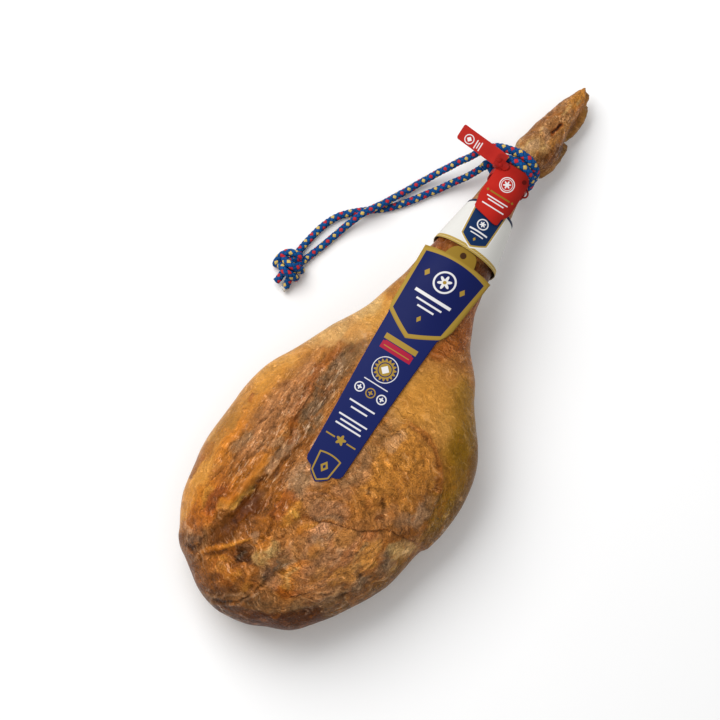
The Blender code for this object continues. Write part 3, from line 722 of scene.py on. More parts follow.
# %% Heights from lines and spots
def line_distance(u, v, line):
    """Distance from each point to a line of straight stretches, and on which side of it the point is: 1 on
    its left and -1 on its right."""
    nearest, side = np.full(np.shape(u), 1e9), np.ones(np.shape(u))
    for (au, av), (bu, bv) in zip(line[:-1], line[1:]):
        du, dv = bu - au, bv - av
        t = np.clip(((u - au) * du + (v - av) * dv) / (du * du + dv * dv), 0, 1)
        apart = np.hypot(u - au - t * du, v - av - t * dv)
        closer = apart < nearest
        nearest = np.where(closer, apart, nearest)
        side = np.where(closer, np.sign(du * (v - av) - dv * (u - au)), side)
    return nearest, side


def ridges(u, v, rows):
    """Height of several lines of relief: over each a bell curve of the distance to it."""
    total = np.zeros(np.shape(u))
    for (width, height), line in rows:
        total += height * np.exp(-(line_distance(u, v, line)[0] / width) ** 2)
    return total


def relief(x, y, z):
    """Height of the large folds: the lines, and a bell curve over each spot."""
    u, v = as_seen(x, y, z)
    total = ridges(u, v, LINES)
    for bu, bv, ru, rv, height in BUMPS:
        total += height * np.exp(-((u - bu) / ru) ** 2 - ((v - bv) / rv) ** 2)
    return total


def smooth_step(value, low, high):
    """0 at low, 1 at high, and the cubic 3t2 - 2t3 between."""
    t = np.clip((value - low) / (high - low), 0, 1)
    return t * t * (3 - 2 * t)


def relief_share(arch):
    """How much of the relief counts: all on top of the leg, none where it turns down to the skin."""
    return smooth_step(arch, RELIEF_FROM, RELIEF_FROM + RELIEF_FADE)


print("height of the folds at one place:", round(float(relief(184.0, -74.0, 110.0)), 1), "mm")


# %% The upper face
def arched(side, fullness):
    """A superellipse's height over its middle line: 1 in the middle and 0 at both sides."""
    return np.maximum(1 - np.abs(side) ** fullness, 0) ** (1 / fullness)


def upper_face(x, y, with_relief=True):
    """Height of the upper face: the edge's height plus an arch of superellipse form to the top."""
    left, right = left_edge(x), right_edge(x)
    side = np.clip((2 * y - left - right) / (left - right), -1, 1)
    arch = arched(side, top_fullness(x))
    z = edge_height(x) + (top_height(x) - edge_height(x)) * arch
    if with_relief:
        z = z + relief(x, y, z) * relief_share(arch)
    return z


print("the thick of the meat face is", round(float(upper_face(np.array(200.0), np.array(20.0)))), "mm high")


# %% [markdown]
# ## Rough numbers from a seed
#
# Dried meat is uneven at every scale. A lattice of random numbers, blended smoothly between its points,
# gives a cloudy field in space, and a few such fields of shrinking size make a natural roughness. The draws
# come from a seed, so the ham is the same each time.

# %% Noise fields
TABLE_SIZE = 4096


def cloud(points, size, seed):
    """A field from -1 to 1 whose blobs have the given size, one length or three: the eight lattice numbers
    round a point, weighed by smooth steps."""
    rng = np.random.default_rng(seed)
    table, order = rng.uniform(-1, 1, TABLE_SIZE), rng.permutation(TABLE_SIZE)
    p = points / np.asarray(size, float)
    cell = np.floor(p).astype(int)
    part = p - cell
    part = part * part * (3 - 2 * part)
    total = np.zeros(points.shape[:-1])
    for corner in np.ndindex(2, 2, 2):
        at = cell + corner
        key = order[at[..., 0] % TABLE_SIZE]
        key = order[(key + at[..., 1]) % TABLE_SIZE]
        key = order[(key + at[..., 2]) % TABLE_SIZE]
        total += np.prod(np.where(corner, part, 1 - part), axis=-1) * table[key]
    return total


def clouds(points, size, seed, layers=3, fall=0.55):
    """Layers of the field, each half the size of the last and weaker."""
    total, weight = 0.0, 1.0
    for layer in range(layers):
        total = total + weight * cloud(points, np.asarray(size, float) / 2 ** layer, seed + layer)
        weight *= fall
    return total


print("one point of a field:", np.round(clouds(np.array([[30.0, 20.0, 10.0]]), 16.0, 11), 3))


# %% [markdown]
# ## The ham's surface
#
# The leg is a loft: rings square to x, each an arch above and a round below, with more points where the
# form turns. The toes are not put on as separate lumps. On each ring of the foot a point moves inwards from
# outside until it meets either the leg or a toe, with the two blended where they meet, so that skin seems
# to run from one to the other.

# %% Rings of the ham
RING_GAP, FOOT_GAP = 2.0, 1.25
FOOT_FROM, TIP_FROM = 600.0, 750.0
RUMP_TO = 20.0
TOP_CELLS, SKIN_CELLS = 162, 44
EDGE_CROWDING = 0.65


def ham_stations():
    """x of the rings: even in the square root of the distance at both round ends, and even between."""
    rump_step = RING_GAP / (2 * math.sqrt(RUMP_TO))
    tip_step = FOOT_GAP / (2 * math.sqrt(HAM_LENGTH - TIP_FROM))
    rump = np.arange(rump_step, math.sqrt(RUMP_TO), rump_step) ** 2
    tip = HAM_LENGTH - np.arange(tip_step, math.sqrt(HAM_LENGTH - TIP_FROM), tip_step)[::-1] ** 2
    return np.concatenate([rump, np.arange(RUMP_TO, FOOT_FROM, RING_GAP),
                           np.arange(FOOT_FROM, TIP_FROM, FOOT_GAP), tip])


def plain_rings(x):
    """The leg without its fine relief, as a grid of rings: y goes from edge to edge above and back below."""
    share = np.arange(TOP_CELLS) / TOP_CELLS
    over = -(EDGE_CROWDING * np.cos(math.pi * share) + (1 - EDGE_CROWDING) * (1 - 2 * share))
    under = np.cos(math.pi * np.arange(SKIN_CELLS) / SKIN_CELLS)
    x = x[:, None]
    left, right, edge = left_edge(x), right_edge(x), edge_height(x)
    middle, half = (left + right) / 2, (left - right) / 2
    arch = arched(over, top_fullness(x))
    upper = edge + (top_height(x) - edge) * arch
    y = middle + half * over
    upper = upper + relief(x, y, upper) * relief_share(arch)
    lower = np.maximum(edge - (edge - bottom_height(x)) * arched(under, skin_fullness(x)), 0.0)
    points = np.empty((len(x), TOP_CELLS + SKIN_CELLS, 3))
    points[..., 0] = x
    points[:, :TOP_CELLS, 1], points[:, :TOP_CELLS, 2] = y, upper
    points[:, TOP_CELLS:, 1], points[:, TOP_CELLS:, 2] = middle + half * under, lower
    arches = np.concatenate([arch, np.zeros((len(x), SKIN_CELLS))], axis=1)
    return points, arches


stations = ham_stations()
ham_grid, ham_arch = plain_rings(stations)
print("ham rings:", len(stations), "of", ham_grid.shape[1], "points")

# %% Toes
CLAW_SHAPE = places("0,0.6 0.3,1 0.6,1 0.82,0.85 0.94,0.55 1,0.2")
# Start and end of the axis, and the radius at both.
CLAWS = [
    ((700, -3, 27), (755.5, -9.0, 23), 10.0, 4.4),
    ((697, -9.5, 24), (743, -15.5, 19), 11.0, 6.2),
    ((642, -8.3, 38), (688, -19.0, 29), 11.5, 4.2),
    ((652, 0, 25), (688, -8.0, 15), 8.5, 2.8),
]
CLAW_BLEND = 2.5
CLAWS_FROM, CLAW_REACH = 630.0, 16.0
CLAW_STEPS, STEP_SHARE = 70, 0.55


def claw_distance(p, start, end, first, last):
    """Distance from points to a tapering claw: to its axis, less the radius at that share of its length."""
    a, b = np.array(start, float), np.array(end, float)
    share = np.clip((p - a) @ (b - a) / ((b - a) @ (b - a)), 0, 1)
    radius = (first + (last - first) * share) * np.interp(share, *np.array(CLAW_SHAPE).T)
    return np.linalg.norm(p - a - share[..., None] * (b - a), axis=-1) - radius


def with_claws(points):
    """Move the foot's points out to the toes: from some way outside, each goes towards its ring's centre
    until the smooth least of its distances to leg and toes is nothing."""
    foot = points[:, 0, 0] > CLAWS_FROM
    p = points[foot]
    centre = (p[:, 0] + p[:, TOP_CELLS]) / 2
    outward = p - centre[:, None]
    reach = np.linalg.norm(outward[..., 1:], axis=-1)
    outward /= np.maximum(reach, 1e-6)[..., None]
    at = reach + CLAW_REACH
    for _ in range(CLAW_STEPS):
        place = centre[:, None] + outward * at[..., None]
        near = at - reach
        for claw in CLAWS:
            other = claw_distance(place, *claw)
            mix = np.maximum(CLAW_BLEND - np.abs(near - other), 0) / CLAW_BLEND
            near = np.minimum(near, other) - mix ** 2 * CLAW_BLEND / 4
        at = np.maximum(at - STEP_SHARE * near, reach)
    points[foot] = centre[:, None] + outward * at[..., None]
    return points


ham_grid = with_claws(ham_grid)
foot_y = ham_grid[stations > CLAWS_FROM, :, 1]
print("the foot goes from", round(float(foot_y.min()), 1), "to", round(float(foot_y.max()), 1), "mm across")

# %% [markdown]
# ## Where things are on the ham
#
# To place fine detail and colour, each point of the ham gets the place where the eye sees it. A stroke is
# then a line of such places with a reach. Its edge is made ragged by the noise fields, because nothing on
# meat ends in a clean curve.

# %% Strokes
seen_u, seen_v = as_seen(ham_grid[..., 0], ham_grid[..., 1], ham_grid[..., 2])
# A field of wide blobs, and the two that move places about.
rough_wide = clouds(ham_grid, 16.0, 11)
warp_u, warp_v = clouds(ham_grid, 15.0, 14, 4, 0.6), clouds(ham_grid, 15.0, 18, 4, 0.6)
WARP, LEAST_WARP, WIDE_STROKE = 4.2, 0.4, 8
SOFT_EDGE, MOST_SOFTER, SOFTER_BY = 0.25, 0.35, 90


def stroke(reach, line):
    """1 on a line of places and 0 beyond its reach in millimetres. The place is moved about by the noise
    before its distance is taken, so that the edge wanders and frays, more so on a wide stroke."""
    warp = WARP * (LEAST_WARP + (1 - LEAST_WARP) * min(1.0, reach / WIDE_STROKE))
    soft = SOFT_EDGE + min(MOST_SOFTER, reach / SOFTER_BY)
    apart, _ = line_distance(seen_u + warp * warp_u, seen_v + warp * warp_v, line)
    return 1 - smooth_step(apart / reach, 1 - soft, 1 + soft)


def strokes(text):
    """The strongest of several strokes at each point, each a row with its reach and its line."""
    total = np.zeros(seen_u.shape)
    for (reach,), line in rows_of(text):
        total = np.maximum(total, stroke(reach, line))
    return total


print("the eye sees the ham from", round(float(seen_u.min())), "to", round(float(seen_u.max())), "mm along")


# %% What lies over the ham
# Place along the leg, left edge and right edge of each row, as the eye sees them.
CARD_OUTLINE = places("""
186.5,25.6,23.6 190,30.5,18.2 195,36.5,12.5 200.6,38.5,10.5 201.6,42.5,5.5 204,46.5,1.5 208,48.3,-0.3
225,49,-0.9 250,50,-1.7 275,51.2,-2.6 300,52.5,-3.8 330,54.2,-5.6 360,55.5,-7.8 384,56.2,-9.2
399,56.6,-10.2 404,58,-13 410,59.3,-16.7 419,59.9,-19.7 435,60.2,-21.5 452,60.6,-23.5 470,61,-25.8
488.5,61.5,-28 491.5,50,-16 493.6,37.2,-2 497,36.2,-1.5 502,34,0 505,31.5,1.5 507.6,28,4.5 508.4,24.5,9
519,23.5,10
""")
CARD_FADE = (1.0, 6.0)
WRAPS_FROM, WRAPS_TO = (490, 498), (640, 648)
card_u, card_left, card_right = np.array(CARD_OUTLINE).T
upper_side = np.zeros(seen_u.shape, bool)
upper_side[:, :TOP_CELLS] = True
beside_card = np.maximum(seen_v - np.interp(seen_u, card_u, card_left),
                         np.interp(seen_u, card_u, card_right) - seen_v)
beside_card = np.maximum(beside_card, np.maximum(card_u[0] - seen_u, seen_u - card_u[-1]))
under_card = (1 - smooth_step(beside_card, *CARD_FADE)) * upper_side
under_wraps = smooth_step(seen_u, *WRAPS_FROM) * (1 - smooth_step(seen_u, *WRAPS_TO))
free = (1 - under_card) * (1 - under_wraps)
on_top = relief_share(ham_arch)
print("share of the ham's points that nothing covers:", round(float(free.mean()), 2))

# %% [markdown]
# ## Small relief
#
# Over the large folds come ledges, where one muscle lies over the next and ends in a sharp step; fibres and
# wrinkles, which run along the leg beside the label; lumps and arcs of grain over the rump; and a slit in
# the foot. The skin side is smoother. Each is a height that moves the points out along the surface's normal.

# %% Ledges, fillings and wrinkles
# Width, height, and the line, with the ledge on its left.
LEDGES = rows_of("""
5 -1.2 102,101 112,92 128,84 150,80
5 -1.6 240,62 250,74 275,77 318,78
3 0.8 58,79 74,65 90,52 98,44
6 0.35 128,27 140,22 147,12 150,0 156,-18 163,-42
6 0.8 168,-52 184,-72 187,-90 186,-118
5 1.3 276,-22 290,-26 299,-35 300,-54 292,-74 278,-90 253,-102 225,-106
5 2 56,-4 54,-14 60,-26 75,-38
4 -2 62,60 60,48 66,40 76,42
5 1.4 8,60 12,40 25,24 45,16 62,14
5 -1.6 95,38 112,36 128,44 160,52 200,56
4 -1.5 70,118 90,128 120,128 146,122 160,128 190,126 215,118
3.5 1.6 80,-50 86,-58 84,-66 92,-72
""")
# Half-width, height, and the line.
FILLINGS = rows_of("""
7.2 5.6 150,-2 157,-20 166,-50 184,-74 188,-100 188,-124
7 -3.4 155,89 190,89
5 -2 38,99 56,80 75,65 97,46
5 1.6 128,26 146,14
8 2.2 116,106 150,99 186,97
12 3 60,84 85,80 105,78
""")
WRINKLES = rows_of("""
1.7 -1.5 170,101 205,99 252,101
1.6 -1.3 196,122 220,112 262,107
1.6 -1.3 150,96 180,94 230,92 290,88
1.6 -1.2 186,78 230,80 300,84
1.8 -1.4 160,70 190,66 235,62
1.6 -1.1 210,116 260,100 320,92
1.4 -1.3 206,-36 213,-33
1.4 -1.3 205,-60 210,-54
1.5 -0.8 189,-60 194,-64 200,-64
1.5 -0.8 193,-64 192,-70
1.6 -1.2 225,-100 245,-96 262,-88
1.6 -1.2 200,-104 225,-110 250,-108
1.6 -1.2 270,-60 284,-50 292,-38
1.5 -1 262,-78 275,-68 285,-56
1.6 -1.2 176,-50 190,-44 196,-34
1.5 -1.1 160,-10 166,-24 176,-36
1.5 1.2 3,52 8,38 20,22 40,13
1.4 1 6,66 14,44 30,30
1.4 1 30,96 48,92 62,98 66,110
1.4 1 36,108 44,116 58,118
1.5 -1.3 44,104 52,100 60,104 58,113 48,114 44,106
1.6 -1.2 96,-20 106,-28 118,-30
1.5 -1.2 70,-44 90,-46 112,-52
1.6 -1.3 120,-80 140,-84 158,-86
1.6 1.2 60,-60 90,-78 120,-88
""")
FOOT_SLIT = rows_of("1.5 -1.6 677,6.5 684,3.2 692,1")
print(len(LEDGES), "ledges,", len(FILLINGS), "fillings and", len(WRINKLES), "wrinkles")

# %% Where the meat is fibrous, lumpy or full
fibrous = strokes("""
34 150,104 220,100 300,88
22 160,74 240,70 330,72
""")
lumpy = strokes("""
60 60,30 110,-20 150,-60
30 40,100 90,90
30 60,-50 140,-92
26 180,20 190,-50
""")
mass = strokes("58 225,-30 240,-80")
FOOT_RISE = (640, 652)
foot = smooth_step(seen_u, *FOOT_RISE)

# Where, size and height of the swellings, of the small ones, of the creases, and the first seed.
ROUGHNESS = [
    (fibrous * on_top, (26, 6.5, 6.5), 1.0, (9, 4, 4), 0.4, (36, 8, 8), 0.5, 31),
    (lumpy * on_top, 13.0, 1.2, 5.5, 0.5, 17.0, 0.5, 41),
    (mass * on_top, (12, 15, 12), 0.8, 5.5, 0.4, (17, 26, 20), 0.4, 51),
    (foot, (12, 6, 6), 0.55, 4.0, 0.3, (20, 6, 6), 0.3, 71),
]
print("shares of fibrous, lumpy and full meat:", [round(float(x.mean()), 3) for x in (fibrous, lumpy, mass)])

# %% Grain and creases
GRAIN_CENTRE = (158.0, -6.0)
GRAIN_TURN, GRAIN_WARP, GRAIN_SIZE = 16.0, 5.0, 6.5
CREASE_WARP, CREASE_WIDTH = 2.5, 0.13


def grain():
    """Places for a grain that runs in arcs about one centre of the rump: two numbers go round with the
    angle, slowly, and the third is the radius in millimetres, so a noise read there is drawn out along
    the arcs and has no seam. The places are moved about first, so that the arcs aren't true circles."""
    du = seen_u + GRAIN_WARP * warp_u - GRAIN_CENTRE[0]
    dv = seen_v + GRAIN_WARP * warp_v - GRAIN_CENTRE[1]
    angle = np.arctan2(dv, du)
    return np.stack([GRAIN_TURN * np.cos(angle), GRAIN_TURN * np.sin(angle), np.hypot(du, dv)], axis=-1)


def creases(size, seed):
    """1 along wandering lines, where a noise field passes through nothing, and 0 away from them."""
    moved = ham_grid + np.stack([warp_u, warp_v, warp_u], axis=-1) * CREASE_WARP
    return np.exp(-(clouds(moved, size, seed, 2) / CREASE_WIDTH) ** 2) * smooth_step(rough_wide, -0.3, 0.7)


grain_place = grain()
print("the grain's arcs reach", round(float(grain_place[..., 2].max())), "mm from their centre")

# %% Heights of the small relief
LEDGE_WARP, LEDGE_BACK, LEDGE_FOOT = 2.2, 0.35, 2.5
WAVE_RISE, WAVE_TOPS, MASS_WAVES = 0.7, 0.4, 0.7
ALL_OVER_RISE, ALL_OVER_SIZE = 0.35, 26.0
TABLE_FADE = (1.0, 9.0)


def small_relief():
    """Height of the fine forms in millimetres, and the share of crease. A ledge falls off with distance on
    one side of its line, and the surface dips a little on the other."""
    near_u, near_v = seen_u + LEDGE_WARP * warp_u, seen_v + LEDGE_WARP * warp_v
    height = ridges(near_u, near_v, WRINKLES) * on_top
    for (width, rise), line in LEDGES:
        apart, side = line_distance(near_u, near_v, line)
        dip = -LEDGE_BACK * np.exp(-apart / LEDGE_FOOT)
        height += rise * on_top * np.where(side > 0, np.exp(-apart / width), dip)
    waves = clouds(grain_place, GRAIN_SIZE, 91, 2, 0.6)
    waves = WAVE_RISE * waves + WAVE_TOPS * np.maximum(waves, 0)
    height += (lumpy + mass * MASS_WAVES).clip(0, 1) * (1 - fibrous) * on_top * waves
    cuts = []
    for share, large, rise, small, small_rise, crack, depth, seed in ROUGHNESS:
        crease = creases(crack, seed + 1)
        swell = rise * clouds(ham_grid, large, seed) + small_rise * clouds(ham_grid, small, seed + 4, 2)
        height += share * (swell - depth * crease)
        cuts.append(share * crease)
    height += ALL_OVER_RISE * clouds(ham_grid, ALL_OVER_SIZE, 61) + ridges(seen_u, seen_v, FOOT_SLIT)
    meat_cut = np.max(cuts[:-1], axis=0)
    return height * free * smooth_step(ham_grid[..., 2], *TABLE_FADE), meat_cut * free


heights, cut = small_relief()
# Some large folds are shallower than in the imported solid, and a few ridges lower.
filled = ridges(seen_u, seen_v, FILLINGS) * on_top * free
print("small relief from", round(float(heights.min()), 1), "to", round(float(heights.max()), 1), "mm")


# %% The ham's mesh
def grid_normals(grid):
    """Outward direction at each point: the cross product of the steps to the next rings and to the next
    points of its ring."""
    around = np.roll(grid, -1, axis=1) - np.roll(grid, 1, axis=1)
    along = np.gradient(grid, axis=0)
    normal = np.cross(along, around)
    return normal / np.maximum(np.linalg.norm(normal, axis=-1), 1e-9)[..., None]


ham_points = ham_grid + grid_normals(ham_grid) * (heights + filled)[..., None]
ham_points[..., 2] = np.maximum(ham_points[..., 2], 0.0)
poles = np.array([(0.0, LEFT_EDGE[0][1], TOP[0][1]), (HAM_LENGTH, LEFT_EDGE[-1][1], TOP[-1][1])])
ham = make_round("ham_meat", ham_points, poles)
stand_for(ham, "ham")

# %% [markdown]
# ## Painting the ham
#
# A cured ham has no single colour. Its fat is yellow to orange, the dry meat is brown, grey where mould has
# been brushed off, and orange where fat has soaked it. A painter would lay broad tones first and touch the
# small ones in later, and so does this list: each row is a colour, how strongly it covers, its reach and
# the line that the brush follows, as the eye sees the ham. Some rows paint shade and highlights, as their
# headings say. Last, raised places get painted light and hollows painted shade, and creases a painted shade
# of dark rust.

# %% Palette
TONES = {
    "meat": (178, 114, 54), "brown": (142, 86, 38), "dark": (94, 50, 14), "black": (54, 32, 18),
    "grey": (138, 106, 70), "cold": (120, 100, 78), "pale": (192, 152, 112), "orange": (206, 122, 34),
    "glow": (214, 142, 54), "fat": (214, 154, 70), "yellow": (218, 164, 72), "olive": (142, 102, 20),
    "rust": (158, 82, 30), "rose": (184, 128, 84), "bone": (186, 148, 84), "rind": (154, 106, 42),
    "foot": (168, 116, 66), "nail": (94, 60, 34), "cream": (222, 180, 112),
    "milk": (226, 160, 110), "butter": (240, 162, 78),
}
print("tones on the palette:", len(TONES))
